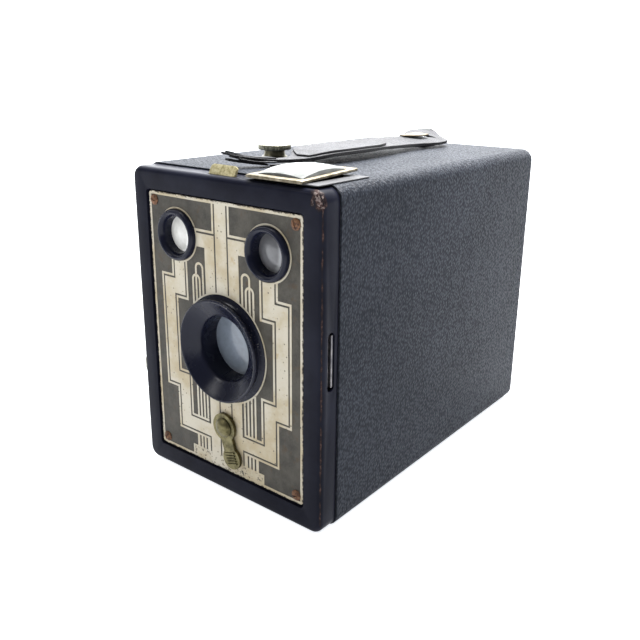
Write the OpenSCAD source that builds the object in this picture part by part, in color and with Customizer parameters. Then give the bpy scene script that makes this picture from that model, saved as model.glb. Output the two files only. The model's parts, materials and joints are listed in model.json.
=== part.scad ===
// Roll-film box camera for 6 x 9 cm pictures.
// Frame: +Z up, -Y is the lens side, +X is the side without the winding key.
// The origin is the centre of the underside of the body.

/* [Body] */
// Width of the covered body
body_w = 77.5; // [74:0.5:110]
// Height of the covered body
body_h = 102; // [98:1:140]
// Depth from the front panel's face to the back
body_d = 128; // [118:1:170]
// Radius of the four long edges
corner_r = 4.2; // [3.6:0.2:9]
// Radius round the back
back_r = 2.5; // [1:0.5:4]
// Wall of the steel sleeve
sleeve_t = 1.2; // [0.8:0.1:2]
// Thickness of the leatherette
skin_t = 0.6; // [0.4:0.1:1]
// Gap between the sleeve and what slides in it
slide_gap = 0.5; // [0.3:0.1:1]

/* [Front panel] */
// Depth of the panel's rim
rim_d = 7; // [6:0.5:10]
// How far the rim sits inside the leatherette's surface
rim_inset = 0.5; // [0.2:0.1:1]
// Wall of the rim
rim_t = 0.9; // [0.6:0.1:1.5]
// Thickness of the panel's face
face_t = 2.2; // [2:0.1:3]
// Radius of the panel's front edge
edge_r = 1.6; // [1:0.1:2.5]

/* [Face plate] */
// Width of the ornamental plate
plate_w = 62.4; // [62:0.2:66]
// Height of the ornamental plate
plate_h = 86.4; // [86:0.2:90]
// Thickness of the plate
plate_t = 0.7; // [0.5:0.1:1]
// Depth of the plate's face behind the panel's face
plate_sink = 0.6; // [0.3:0.1:1]
// Gap round the plate
plate_gap = 0.6; // [0.3:0.1:1]
// Depth of the etched fields
etch = 0.16; // [0.1:0.02:0.3]
// Width of a light line of the ornament
line_w = 0.7; // [0.5:0.05:0.9]
// Spacing of the pinstripes
stripe_pitch = 1.48; // [1.4:0.02:1.6]

/* [Lens and finders] */
// Height of the lens axis
axis_z = 49.4; // [48:0.2:56]
// Radius of the hood's flange on the plate
hood_r = 17; // [16:0.5:17.5]
// Radius of the hood's rim
hood_rim_r = 16.1; // [15:0.1:16.5]
// How far the hood stands out of the plate
hood_proud = 3.5; // [2:0.5:6]
// Radius of the opening at the bottom of the hood
mouth_r = 10.2; // [9.5:0.1:10.5]
// Depth of the glass behind the plate's face
glass_sink = 6.6; // [5:0.1:8]
// Half the distance between the finder windows
finder_x = 18.6; // [18.2:0.1:19]
// Height of the finder windows
finder_z = 82; // [81:0.5:84]
// Radius of a finder bezel
bezel_r = 8; // [7.5:0.1:8.2]
// Radius of a bezel's opening
bezel_bore = 5.7; // [5:0.1:6]
// How far a bezel stands out of the plate
bezel_proud = 1.9; // [1:0.1:3]
// Width of a viewing screen's frame
screen_w = 20; // [18:0.5:22]
// Length of the top screen's frame
screen_l = 24.4; // [22:0.2:26]
// Length of the side screen's frame
side_screen_l = 18.6; // [17:0.2:20]
// Thickness of a screen's frame
screen_t = 0.8; // [0.6:0.1:1.2]
// Slope of the top screen, its back edge up
screen_slope = 2.4; // [0:0.2:4]

/* [Film path] */
// Distance of the spools from the lens axis
spool_dz = 34; // [33.5:0.5:36]
// Distance of the spools behind the panel's face
spool_depth = 42; // [40:1:50]
// Length of a spool
spool_l = 65.6; // [60:0.2:66]
// Radius of a spool's flange
flange_r = 12.6; // [11:0.1:12.8]
// Radius of the pins that the spools turn on
pin_r = 2; // [1.5:0.1:2.5]
// Width of the picture
frame_w = 57; // [50:1:60]
// Height of the picture
frame_h = 83; // [76:1:84]
// Radius of a film roller
roller_r = 2.2; // [1.8:0.1:2.6]

/* [Controls] */
// Height of the selector's pivot
selector_z = 23.6; // [23:0.1:25]
// Length of the selector between its pivot and its finger lobe
selector_l = 10.3; // [9:0.1:11]
// Slope of the selector at rest
selector_rest = 17.5; // [10:0.5:20]
// Height of the release lever's pivot and finger tab
release_z = 33; // [30:0.5:36]
// Distance of the release lever's pivot from the middle
release_x = 27; // [24:0.5:29]
// Angle through which the release lever is pressed down
release_swing = 20; // [12:1:24]
// Width of the time tab
tab_w = 10.4; // [8:0.2:14]
// Place of the time tab left of the middle, to its centre
tab_x = 0.8; // [-1:0.1:2]
// Place of the lock knob left of the middle
lock_x = 13; // [12:0.5:20]
// Distance of the lock knob behind the panel's face
lock_depth = 38.5; // [34:0.5:44]
// Radius of the lock knob's head
lock_r = 5.4; // [4:0.1:6]
// Travel of the winding key when it is pulled out
key_travel = 4.3; // [4.1:0.1:4.3]

/* [Strap] */
// Width of the strap's narrow part
strap_w = 9; // [7:0.5:12]
// Width of the strap's padded middle
pad_w = 17; // [12:0.5:19]
// Thickness of the strap
strap_t = 1.3; // [1:0.1:2]
// Height of the strap's bow over the top
strap_bow = 2.6; // [1:0.2:5]

/* [Hidden] */
$fn = 64;

front_y = -body_d / 2;            // the panel's face
plate_y = front_y + plate_sink;   // the plate's face
inner_w = body_w - 2 * (skin_t + sleeve_t);
inner_h = body_h - 2 * (skin_t + sleeve_t);
rim_w = body_w - 2 * rim_inset;
rim_h = body_h - 2 * rim_inset;
rim_r = corner_r - rim_inset;
wall_z = skin_t + sleeve_t;       // the sleeve's floor
sleeve_y = front_y + rim_d + 0.3; // the sleeve's mouth, clear of the rim
running = 0.05;                   // radial clearance of what turns
loose = 0.3;                      // clearance of what only passes
plate_z = body_h / 2 + 0.1;       // middle of the plate
board_y = front_y + 15;
board_t = 1;
disc_y = board_y + board_t + 0.4;
disc_t = 0.6;
disc_x = 12.5;                    // the shutter disc's pivot beside the lens axis
stop_y = disc_y + disc_t + 0.5;
stop_t = 0.6;
cell_l = 4;
cone_y = stop_y + stop_t + cell_l;
cone_t = 0.8;
film_y = body_d / 2 - skin_t - sleeve_t - 2.4;
gate_t = 1.5;
gate_y = film_y - gate_t - 0.3;
carrier_t = 1;
carrier_x = inner_w / 2 - slide_gap;
carrier_h = inner_h - 2 * slide_gap;
carrier_z = wall_z + slide_gap;
spool_y = front_y + spool_depth;
top_spool_z = axis_z + spool_dz;
low_spool_z = axis_z - spool_dz;
roller_y = gate_y - roller_r - 0.6;
cone_slope = (frame_h / 2 - 9.7) / (gate_y - cone_y - 1);
// a deeper body has a flatter cone, so the rollers also stay clear of its wall
roller_dz = frame_h / 2 + max(roller_r + 0.6, 0.5 + cone_t - cone_slope * (roller_r + 0.6)
    + (roller_r + 0.08) * sqrt(1 + cone_slope * cone_slope));
screw_x = plate_w / 2 - 2.5;
screw_dz = plate_h / 2 - 2.6;
tube_r = mouth_r + 1.4;           // the hood's tube behind the plate
glass_y = plate_y + glass_sink;
glass_t = 1.2;
glass_r = mouth_r + 0.4;
release_y = front_y + 3.1;
release_arm = body_w / 2 + 3 - release_x;
release_drop = release_arm * sin(release_swing);
release_leg = 7;                  // the drive leg's distance from the pivot
arm_y = front_y + 10.6;           // plane of the close-up arm
arm_l = axis_z - selector_z;
arm_swing = 2 * selector_rest;
close_r = 6.5;
knob_z = body_h + 0.2;
lock_stem_r = 1.8;
lock_reach = 2.5;                 // how far the lock's stem reaches below the rail
nut_t = 1.2;
rail_z = carrier_z + carrier_h - 1;
mount_w = 26.4;                   // a finder's cover
mount_x0 = 9;
top_finder_x = mount_x0 + mount_w / 2;
mount_l = 24;
mount_t = 0.3;
mount_lift = 0.05;                // gap under the cover
side_cover = 5;                   // where the side cover starts, out of sight from the front
box_w = mount_w - 5;
box_l = mount_l - 5.4;
box_floor = 9.4;                  // depth of a finder's box under its window
board_low = 10;                   // foot of the shutter board
board_top = finder_z - box_w / 2 - 1;
window_up = body_h - finder_z;    // from a finder window to the top
bend = 6;                         // length of the strap's curled front end
strap_x = 1.5;
strap_d0 = 15;
strap_d1 = 119;
clip_d = 109;
key_slot = 4.5;
spin_r = disc_x;                  // the shutter opening's distance from its pivot
opening_r = 5.6;
opening_rest = 50;                // angle from the opening to the lens axis at rest
bush_h = wall_z + 0.8;
catch_z = 54;
catch_h = 17.4;
catch_l = 20;
catch_root = 1.5;                 // the strip's end behind its opening in the carrier

// ---- helpers ------------------------------------------------------------

// a rounded rectangle in the XZ plane, from y0 back by l
module slab(w, h, l, r, y0, zc) {
    translate([0, y0 + l, zc])
        rotate([90, 0, 0])
            linear_extrude(l) rounded(w, h, r);
}

// a rectangle with round corners
module rounded(w, h, r) {
    union() {
        square([w - 2 * r, h], center = true);
        square([w, h - 2 * r], center = true);
        for (sx = [-1, 1], sz = [-1, 1])
            translate([sx * (w / 2 - r), sz * (h / 2 - r)]) circle(r);
    }
}

// a flat shape drawn in X and Z, its front face at y0 and l thick
module plate(y0, l) {
    translate([0, y0 + l, 0]) rotate([90, 0, 0]) linear_extrude(l) children();
}

// a round bar along +Y
module bar(x, z, y0, l, r) {
    translate([x, y0, z]) rotate([-90, 0, 0]) cylinder(h = l, r = r);
}

// a round bar along +X
module axle(x0, y, z, l, r) {
    translate([x0, y, z]) rotate([0, 90, 0]) cylinder(h = l, r = r);
}

// a ring or cap turned about a Y axis: points are [radius, depth behind y0]
module turned(x, y0, z, points) {
    translate([x, y0, z]) rotate([-90, 0, 0]) rotate_extrude($fn = 96) polygon(points);
}

// a solid with round long edges and one softened end, at back or front
module soft_box(w, h, y0, y1, r, er, soft_back = true) {
    hull()
        for (sx = [-1, 1], sz = [-1, 1])
            translate([sx * (w / 2 - r), y0, body_h / 2 + sz * (h / 2 - r)])
                if (soft_back)
                    corner_post(y1 - y0, r, er);
                else
                    translate([0, y1 - y0, 0]) rotate([0, 0, 180]) corner_post(y1 - y0, r, er);
}

// one long edge of soft_box, softened at its +Y end
module corner_post(l, r, er) {
    rotate([-90, 0, 0])
        rotate_extrude($fn = 32)
            polygon(concat([[0, 0], [r, 0]],
                [for (a = [0:15:90]) [r - er + er * cos(a), l - er + er * sin(a)]], [[0, l]]));
}

// a wire swept along points
module wire(path, r, sides = 8) {
    n = len(path);
    function along(i) = path[min(i + 1, n - 1)] - path[max(i - 1, 0)];
    function unit(v) = v / norm(v);
    function side(i) = unit(cross(along(i), [0, 1, 0.001]));
    function up(i) = unit(cross(side(i), along(i)));
    ring = [for (i = [0:n - 1], k = [0:sides - 1])
        path[i] + r * (cos(360 * k / sides) * side(i) + sin(360 * k / sides) * up(i))];
    walls = [for (i = [0:n - 2], k = [0:sides - 1])
        let (j = (k + 1) % sides)
        [i * sides + k, i * sides + j, (i + 1) * sides + j, (i + 1) * sides + k]];
    polyhedron(ring, concat(walls, [[for (k = [sides - 1:-1:0]) k]],
        [[for (k = [0:sides - 1]) (n - 1) * sides + k]]));
}

// ---- body ---------------------------------------------------------------

// everything that has to pass through the sleeve and its skin
module body_openings() {
    // mouth of the top finder
    translate([top_finder_x - box_w / 2 - loose, sleeve_y - 1, body_h - 6])
        cube([box_w + 2 * loose, mount_l - rim_d, 10]);
    // mouth of the side finder
    translate([-body_w, sleeve_y - 1, finder_z - box_w / 2 - loose])
        cube([body_w / 2 + 6, mount_l - rim_d, box_w + 2 * loose]);
    // way out for the key shaft
    translate([-body_w, sleeve_y - 1, top_spool_z - key_slot])
        cube([body_w / 2 + 6, spool_y - sleeve_y + 1, 2 * key_slot]);
    translate([-body_w, spool_y, top_spool_z]) rotate([0, 90, 0])
        cylinder(h = body_w / 2 + 6, r = key_slot);
    // lock knob, tripod bush and ruby window
    translate([-lock_x, front_y + lock_depth, body_h - 6]) cylinder(h = 10, r = lock_stem_r + running);
    translate([0, 0, -1]) cylinder(h = 5, r = 5);
    bar(0, axis_z, body_d / 2 - 6, 10, 6);
}

// the zone of one wall up to the middle of its corners: 0 top, 1 right, 2 floor, 3 left
module wall_zone(side) {
    cx = body_w / 2 - corner_r;
    cz = body_h / 2 - corner_r;
    corners = [[-cx, cz], [cx, cz], [cx, -cz], [-cx, -cz]];
    a = corners[side];
    b = corners[(side + 1) % 4];
    translate([0, body_d / 2 - back_r, body_h / 2])
        rotate([90, 0, 0])
            linear_extrude(body_d)
                polygon([a, a + 20 * [sign(a.x), sign(a.y)], b + 20 * [sign(b.x), sign(b.y)], b]);
}

// the zone of the back wall, with its round edge
module back_zone() {
    translate([-body_w, body_d / 2 - back_r, -1]) cube([2 * body_w, 2 * back_r, body_h + 2]);
}

module sleeve_shell() {
    difference() {
        soft_box(body_w - 2 * skin_t, body_h - 2 * skin_t, sleeve_y, body_d / 2 - skin_t,
            corner_r - skin_t, back_r - skin_t);
        slab(inner_w, inner_h, body_d, corner_r - skin_t - sleeve_t,
            body_d / 2 - wall_z - body_d, body_h / 2);
        body_openings();
    }
}

module sleeve_wall(side) {
    color("dimgray") intersection() { sleeve_shell(); wall_zone(side); }
}

module sleeve_top() { sleeve_wall(0); }
module sleeve_right() { sleeve_wall(1); }
module sleeve_floor() { sleeve_wall(2); }
module sleeve_left() { sleeve_wall(3); }
module sleeve_back() { color("dimgray") intersection() { sleeve_shell(); back_zone(); } }

module skin_shell() {
    difference() {
        soft_box(body_w, body_h, sleeve_y, body_d / 2, corner_r, back_r);
        soft_box(body_w - 2 * skin_t, body_h - 2 * skin_t, sleeve_y - 1, body_d / 2 - skin_t,
            corner_r - skin_t, back_r - skin_t);
        body_openings();
    }
}

module leatherette() { color("slategray") difference() { skin_shell(); wall_zone(2); } }
module leatherette_floor() { color("slategray") intersection() { skin_shell(); wall_zone(2); } }

module pressure_plate() {
    color("dimgray")
        difference() {
            slab(inner_w - 8, frame_h + 8, 0.8, 1, film_y + 0.6, axis_z);
            bar(0, axis_z, film_y, 3, 6);
        }
}

// two bowed leaves behind the pressure plate
module pressure_springs() {
    gap = body_d / 2 - wall_z - film_y - 1.4;
    span = 18;
    color("silver")
        for (sz = [-1, 1])
            translate([0, 0, axis_z + sz * 26 - 4])
                linear_extrude(8)
                    polygon(concat(
                        [for (x = [-span:3:span]) [x, film_y + 1.4 + (gap - 0.3) * cos(90 * x / span)]],
                        [for (x = [span:-3:-span]) [x, film_y + 1.7 + (gap - 0.3) * cos(90 * x / span)]]));
}

module ruby_ring() {
    color("black")
        turned(0, body_d / 2, axis_z,
            [[4.5, -2], [5.9, -2], [5.9, 0], [7.5, 0], [7.2, 0.8], [5, 0.8], [4.5, 0.3]]);
}

module ruby_window() {
    color("darkred") bar(0, axis_z, body_d / 2 - 1.4, 0.6, 4.5);
}

module tripod_bush() {
    color("silver")
        difference() {
            union() {
                cylinder(h = bush_h, r = 4.9);
                translate([0, 0, wall_z]) cylinder(h = 0.4, r = 6.5);
            }
            translate([0, 0, -1]) cylinder(h = 6, r = 3.1);
        }
}

// ---- strap --------------------------------------------------------------

// height of the strap's underside over the top, by distance from the front
function strap_lift(d) =
    0.5 + strap_bow * sin(180 * pow((d - strap_d0) / (strap_d1 - strap_d0), 0.8))
    + (d < strap_d0 + bend ? 2.2 * pow((strap_d0 + bend - d) / bend, 2) : 0);

module strap() {
    mid = (strap_d0 + strap_d1) / 2;
    steps = [for (i = [0:26]) strap_d0 + i * (strap_d1 - strap_d0) / 26];
    color("dimgray")
        intersection() {
            translate([strap_x + 15, front_y, body_h])
                rotate([90, 0, -90])
                    linear_extrude(30)
                        polygon(concat([for (d = steps) [-d, strap_lift(d)]],
                            [for (i = [26:-1:0]) [-steps[i], strap_lift(steps[i]) + strap_t]]));
            translate([strap_x, front_y, body_h - 1])
                difference() {
                    linear_extrude(12)
                        union() {
                            translate([-strap_w / 2, strap_d0])
                                square([strap_w, strap_d1 - strap_d0 - strap_w / 2]);
                            translate([0, strap_d1 - strap_w / 2]) circle(strap_w / 2);
                            polygon([
                                [-strap_w / 2, mid - 22], [strap_w / 2, mid - 38],
                                [pad_w / 2, mid - 24], [pad_w / 2, mid - 4], [strap_w / 2, mid + 8],
                                [-strap_w / 2, mid + 14], [-pad_w / 2, mid + 6], [-pad_w / 2, mid - 14],
                            ]);
                        }
                    translate([0, clip_d, -1]) cylinder(h = 14, r = 1.7);
                }
        }
}

// a pressed plate under the strap
module clip_plate(d) {
    translate([strap_x - 3.5, front_y + d - 5, body_h]) cube([7, 10, 0.4]);
}

module strap_clip_front() {
    color("silver") clip_plate(strap_d0 + 14);
}

// plate with a stud for the strap's slot
module strap_clip_rear() {
    stud_h = strap_lift(clip_d) + strap_t + 0.2;
    color("wheat") {
        clip_plate(clip_d);
        translate([strap_x, front_y + clip_d, body_h]) {
            cylinder(h = stud_h, r = 1.4);
            translate([0, 0, stud_h]) cylinder(h = 0.6, r = 1.9);
        }
    }
}

// ---- lock knob ----------------------------------------------------------

module lock_knob() {
    color("darkolivegreen")
        translate([-lock_x, front_y + lock_depth, 0])
            difference() {
                union() {
                    translate([0, 0, rail_z - lock_reach])
                        cylinder(h = knob_z - rail_z + lock_reach, r = lock_stem_r);
                    translate([0, 0, knob_z])
                        rotate_extrude()
                            polygon([
                                [0, 0], [4.2, 0], [4.2, 0.7], [3.6, 1.1], [3.3, 2.6], [lock_r - 0.7, 3],
                                [lock_r, 3], [lock_r, 4.5], [lock_r - 0.7, 4.5], [lock_r - 1, 4.9], [0, 4.9],
                            ]);
                }
                for (k = [0:29])
                    rotate([0, 0, 12 * k])
                        translate([lock_r + 0.05, 0, knob_z + 2.8]) cylinder(h = 1.9, r = 0.42, $fn = 4);
            }
}

module clamp_nut() {
    color("silver")
        translate([-lock_x, front_y + lock_depth, rail_z - 2 * nut_t])
            difference() {
                translate([-4, -4, 0]) cube([8, 8, nut_t]);
                translate([0, 0, -1]) cylinder(h = 4, r = lock_stem_r + running);
            }
}

// ---- front panel and plate ----------------------------------------------

module front_panel() {
    color("midnightblue")
        difference() {
            soft_box(rim_w, rim_h, front_y, front_y + rim_d, rim_r, edge_r, false);
            slab(rim_w - 2 * rim_t, rim_h - 2 * rim_t, rim_d, rim_r - rim_t, front_y + face_t, body_h / 2);
            // seat of the plate
            slab(plate_w + 2 * plate_gap, plate_h + 2 * plate_gap, plate_sink + plate_t + 1, 1.4,
                front_y - 1, plate_z);
            bar(0, axis_z, front_y - 1, 6, tube_r + 0.1);
            for (sx = [-1, 1]) bar(sx * finder_x, finder_z, front_y - 1, 6, bezel_bore + 0.9);
            for (sx = [-1, 1], sz = [-1, 1])
                bar(sx * screw_x, plate_z + sz * screw_dz, front_y - 1, 6, 0.9);
            bar(0, selector_z, front_y - 1, 6, 1.6 + running);
            // slot of the catch in the right rim, and of the release in the left
            translate([rim_w / 2 - 3, front_y + face_t + 1.8, catch_z])
                rotate([0, 90, 0])
                    hull()
                        for (s = [-1, 1])
                            translate([s * (catch_h / 2 - 1.5), 0, 0]) cylinder(h = 6, r = 1.5);
            translate([-rim_w / 2 - 3, release_y - loose, release_z - release_drop - 3.5])
                cube([6, 1 + 2 * loose, release_drop + 7]);
            // slot of the time tab
            translate([-tab_x - tab_w / 2 - loose, front_y + face_t + 0.1, body_h - 6])
                cube([tab_w + 2 * loose, 1.4, 8]);
            // mouths of the two finders in the rim
            translate([top_finder_x - box_w / 2 - 0.2, front_y + face_t, body_h - 6])
                cube([box_w + 0.4, rim_d, 10]);
            translate([-body_w, front_y + face_t, finder_z - box_w / 2 - 0.2])
                cube([body_w / 2 + 3, rim_d, box_w + 0.4]);
        }
}

// etched ornament: the dark fields of the right half, lens side seen
module dark_half() {
    hw = plate_w / 2;
    top = plate_z + plate_h / 2;
    low = plate_z - plate_h / 2;
    edge = 0.95;                  // light border
    groove = 0.6;                 // width of a dark line
    mid_x = 2.6;                  // dark line beside the middle band
    in_x = 15.4;                  // inner light line under a finder
    out_x = 21.7;                 // outer light line under a finder
    step_in = 20.3;               // inner light line beside the lens
    step_out = 26.7;              // outer light line beside the lens
    ring_z = 84.8;                // light line beside a finder
    hi_out = 68.8;
    hi_in = 62.1;
    lo_in = 37.4;
    lo_out = 31.2;
    u_z = 23;                     // foot of the pinstripes
    foot_z = 16.7;                // foot of the outer band
    block_z = 12.2;               // top of the blank lettering panels
    h = line_w / 2;
    // outer field, from the top of the plate to its foot
    difference() {
        polygon([
            [mid_x + groove / 2 + line_w, top - edge], [hw - edge, top - edge], [hw - edge, low + edge],
            [in_x + 0.4, low + edge], [in_x + 0.4, block_z], [in_x - 1.8, block_z], [in_x - 1.8, foot_z - h],
            [out_x + h, foot_z - h], [out_x + h, lo_out - h], [step_out + h, lo_out - h],
            [step_out + h, hi_out + h], [out_x + h, hi_out + h], [out_x + h, ring_z + h],
            [mid_x + groove / 2 + line_w, ring_z + h],
        ]);
        translate([finder_x, finder_z]) circle(bezel_r + 0.5);
        translate([screw_x, plate_z + screw_dz]) circle(1);
        translate([screw_x, plate_z - screw_dz]) circle(1);
    }
    // dark line inside the outer light line
    difference() {
        stepped(out_x - h, step_out - h, hi_out - h, lo_out + h, foot_z + h, finder_z, 7);
        offset_stepped(out_x - h, step_out - h, hi_out - h, lo_out + h, foot_z + h, finder_z, 7, groove);
        translate([finder_x, finder_z]) circle(bezel_r + 0.5);
    }
    // fields beside the lens, and their pinstripes
    difference() {
        union() {
            translate([7, u_z - h - groove]) square([in_x + h + groove - 7, lo_in - u_z + groove + line_w]);
            translate([7, hi_in - h]) square([in_x + h + groove - 7, 79.7 - hi_in + h]);
            translate([7, lo_in - h - groove])
                square([step_in + h + groove - 7, hi_in - lo_in + line_w + 2 * groove]);
        }
        inner_lines(in_x, step_in, hi_in, lo_in, u_z);
        arches();
        translate([finder_x, finder_z]) circle(bezel_r + 0.5);
        translate([0, axis_z]) circle(hood_r + 0.5);
    }
    // dark lines of the middle band
    difference() {
        union() {
            translate([mid_x - groove / 2, block_z]) square([groove, top - edge - block_z]);
            translate([mid_x, ring_z - h - groove]) square([finder_x - mid_x, groove]);
            translate([7, block_z]) square([groove, foot_z + h + groove - block_z]);
            for (k = [0:2])
                translate([8.9 + k * stripe_pitch, block_z]) square([groove + 0.1, foot_z - h - block_z]);
        }
        translate([finder_x, finder_z]) circle(bezel_r + 0.5);
        translate([0, axis_z]) circle(hood_r + 0.5);
    }
}

// outline of the stepped band, between x0 and its steps
module stepped(xi, xo, zh, zl, zf, zt, x0) {
    polygon([[x0, zf], [xi, zf], [xi, zl], [xo, zl], [xo, zh], [xi, zh], [xi, zt], [x0, zt]]);
}

module offset_stepped(xi, xo, zh, zl, zf, zt, x0, g) {
    polygon([
        [x0 - 1, zf + g], [xi - g, zf + g], [xi - g, zl + g], [xo - g, zl + g],
        [xo - g, zh - g], [xi - g, zh - g], [xi - g, zt + 1], [x0 - 1, zt + 1],
    ]);
}

// light lines that close the inner fields
module inner_lines(in_x, step_in, hi_in, lo_in, u_z) {
    h = line_w / 2;
    translate([in_x - h, hi_in - h]) square([line_w, 30]);
    translate([in_x - h, hi_in - h]) square([step_in - in_x + line_w, line_w]);
    translate([step_in - h, lo_in - h]) square([line_w, hi_in - lo_in + line_w]);
    translate([in_x - h, lo_in - h]) square([step_in - in_x + line_w, line_w]);
    translate([in_x - h, u_z - h]) square([line_w, lo_in - u_z + line_w]);
    translate([8.2 - h, u_z - h]) square([in_x - 8.2 + line_w, line_w]);
    for (k = [0:3])
        translate([8.2 - h + k * stripe_pitch, u_z - h]) square([line_w, lo_in - u_z + 6]);
}

// two interlaced arches of pinstripes over the lens
module arches() {
    for (k = [0, 1]) {
        cx = 8.2 + (k + 1) * stripe_pitch;
        cz = 73 - k * 3.8;
        translate([cx, cz])
            difference() {
                circle(stripe_pitch + line_w / 2);
                circle(stripe_pitch - line_w / 2);
                translate([-3, -6]) square([6, 6]);
            }
        for (s = [-1, 1])
            translate([cx + s * stripe_pitch - line_w / 2, axis_z]) square([line_w, cz - axis_z]);
    }
}

module dark_fields() {
    for (m = [0, 1]) mirror([m, 0]) dark_half();
}

module plate_blank(y0, l) {
    difference() {
        slab(plate_w, plate_h, l, 1.2, y0, plate_z);
        bar(0, axis_z, front_y - 1, 6, tube_r + 0.1);
        for (sx = [-1, 1]) bar(sx * finder_x, finder_z, front_y - 1, 6, bezel_bore + 0.9);
        for (sx = [-1, 1], sz = [-1, 1])
            bar(sx * screw_x, plate_z + sz * screw_dz, front_y - 1, 6, 0.9);
        bar(0, selector_z, front_y - 1, 6, 1.6 + running);
    }
}

module face_plate() {
    color("ivory")
        difference() {
            plate_blank(plate_y, plate_t);
            plate(plate_y - 1, 1 + etch) dark_fields();
        }
}

module plate_enamel() {
    color("dimgray") plate(plate_y + 0.05, etch - 0.05) dark_fields();
}

module plate_screws() {
    color("saddlebrown")
        for (sx = [-1, 1], sz = [-1, 1])
            translate([sx * screw_x, plate_y, plate_z + sz * screw_dz])
                rotate([0, 25 * sx + 40 * sz, 0])
                    difference() {
                        union() {
                            rotate([90, 0, 0]) intersection() {
                                cylinder(h = 0.9, r = 1.7);
                                translate([0, 0, -1.4]) sphere(2.3);
                            }
                            rotate([-90, 0, 0]) cylinder(h = 3, r = 0.9);
                        }
                        translate([-2, -1.6, -0.22]) cube([4, 1.1, 0.44]);
                    }
}

// ---- lens hood and glass ------------------------------------------------

module lens_hood() {
    p = hood_proud;
    color("black")
        turned(0, plate_y, axis_z, [
            [mouth_r, -0.1], [hood_rim_r - 1.2, -p + 0.7], [hood_rim_r - 0.8, -p], [hood_rim_r - 0.2, -p],
            [hood_rim_r, -p + 0.3], [hood_rim_r, -p + 0.8], [hood_rim_r - 0.9, -p + 1.3],
            [hood_rim_r - 0.9, -0.7],
            [hood_r, -0.3], [hood_r, 0], [tube_r, 0],
            [tube_r, glass_sink + glass_t + 0.8], [glass_r + 0.1, glass_sink + glass_t + 0.8],
            [glass_r + 0.1, glass_sink], [mouth_r - 0.9, glass_sink], [mouth_r - 0.9, glass_sink - 0.6],
            [mouth_r, glass_sink - 1],
        ]);
}

module front_glass() {
    color("lightsteelblue") bar(0, axis_z, glass_y, glass_t, glass_r);
}

module glass_ring() {
    color("silver")
        turned(0, glass_y + glass_t, axis_z,
            [[glass_r - 1.2, 0], [glass_r + 0.1, 0], [glass_r + 0.1, 0.6], [glass_r - 1.2, 0.6]]);
}

module bezel(x) {
    b = bezel_bore;
    p = bezel_proud;
    turned(x, plate_y, finder_z, [
        [b, 2.4], [b, -0.2], [b + 0.9, -p + 0.35], [b + 1.3, -p], [bezel_r - 0.9, -p + 0.1],
        [bezel_r - 0.3, -p + 0.6], [bezel_r, -p + 1.3], [bezel_r, 0], [b + 0.8, 0], [b + 0.8, 2.4],
    ]);
}

module bezels() { color("black") for (s = [-1, 1]) bezel(s * finder_x); }

module finder_lens(x) {
    bar(x, finder_z, plate_y + 2.4, 0.6, bezel_bore + 0.7);
    intersection() {
        bar(x, finder_z, plate_y + 0.6, 2.4, bezel_bore - 0.05);
        translate([x, plate_y + 11.4, finder_z]) sphere(10.3);
    }
}

module finder_lenses() { color("lightgray") for (s = [-1, 1]) finder_lens(s * finder_x); }

// ---- finders ------------------------------------------------------------

// a finder's box: round hole in front, open to +Z through its cover
module finder_box(cover_y) {
    t = 0.5;
    y0 = plate_y + 3.4;
    difference() {
        union() {
            translate([-box_w / 2, y0, -box_floor]) cube([box_w, box_l, box_floor + window_up + mount_lift]);
            // cover that lies over the rim and the body
            translate([-mount_w / 2, front_y + cover_y, window_up + mount_lift])
                cube([mount_w, mount_l - cover_y, mount_t]);
        }
        translate([-box_w / 2 + t, y0 + t, -box_floor + t])
            cube([box_w - 2 * t, box_l - 2 * t, box_floor + window_up - 2]);
        translate([-box_w / 2 + 2, y0 + 1, 0]) cube([box_w - 4, box_l - 2, body_h]);
        translate([0, y0 - 2, 0]) rotate([-90, 0, 0]) cylinder(h = 4, r = bezel_bore + 0.9);
    }
}

// carries a finder part from the top to the left side of the body
module to_side() {
    translate([-finder_x, 0, finder_z])
        rotate([0, -90, 0])
            translate([0, 0, body_w / 2 - finder_x - window_up])
                children();
}

module finder_box_top() { color("black") translate([top_finder_x, 0, finder_z]) finder_box(1.5); }
module finder_box_side() { color("black") to_side() finder_box(side_cover); }

module finder_mirror() {
    translate([0, plate_y + 14, 0.4])
        rotate([45, 0, 0])
            translate([-8, -10, -0.4]) cube([16, 20, 0.8]);
}

module finder_mirrors() {
    color("lightgray") {
        translate([top_finder_x, 0, finder_z]) finder_mirror();
        to_side() finder_mirror();
    }
}

// a screen's pressed frame, flat on z = 0
module screen_frame(l, border) {
    difference() {
        translate([-screen_w / 2, 0, 0]) cube([screen_w, l, screen_t]);
        translate([-screen_w / 2 + 2, border, -1]) cube([screen_w - 4, l - 2 * border, 4]);
    }
}

// a crowned rectangular glass that fits a screen's frame
module screen_glass(l, border, crown) {
    w = screen_w - 4.2;
    d = l - 2 * border - 0.2;
    half2 = (w * w + d * d) / 4;
    crown_r = (half2 + crown * crown) / (2 * crown);
    translate([-w / 2, border + 0.1, 0]) cube([w, d, screen_t + 0.1]);
    intersection() {
        translate([-w / 2, border + 0.1, screen_t]) cube([w, d, 6]);
        translate([0, l / 2, screen_t + crown - crown_r]) sphere(crown_r, $fn = 128);
    }
}

module top_place() {
    translate([mount_x0 + 1.9 + screen_w / 2, front_y + 0.3, body_h + mount_lift + mount_t])
        rotate([screen_slope, 0, 0]) children();
}

module side_place() {
    to_side()
        translate([0, front_y + side_cover, window_up + mount_lift + mount_t])
            children();
}

module top_screen_frame() { color("tan") top_place() screen_frame(screen_l, 2.6); }
module top_screen() { color("white") top_place() screen_glass(screen_l, 2.6, 1.9); }
module side_screen_frame() { color("tan") side_place() screen_frame(side_screen_l, 2); }
module side_screen() { color("white") side_place() screen_glass(side_screen_l, 2, 1.6); }

// ---- shutter and controls -----------------------------------------------

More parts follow.
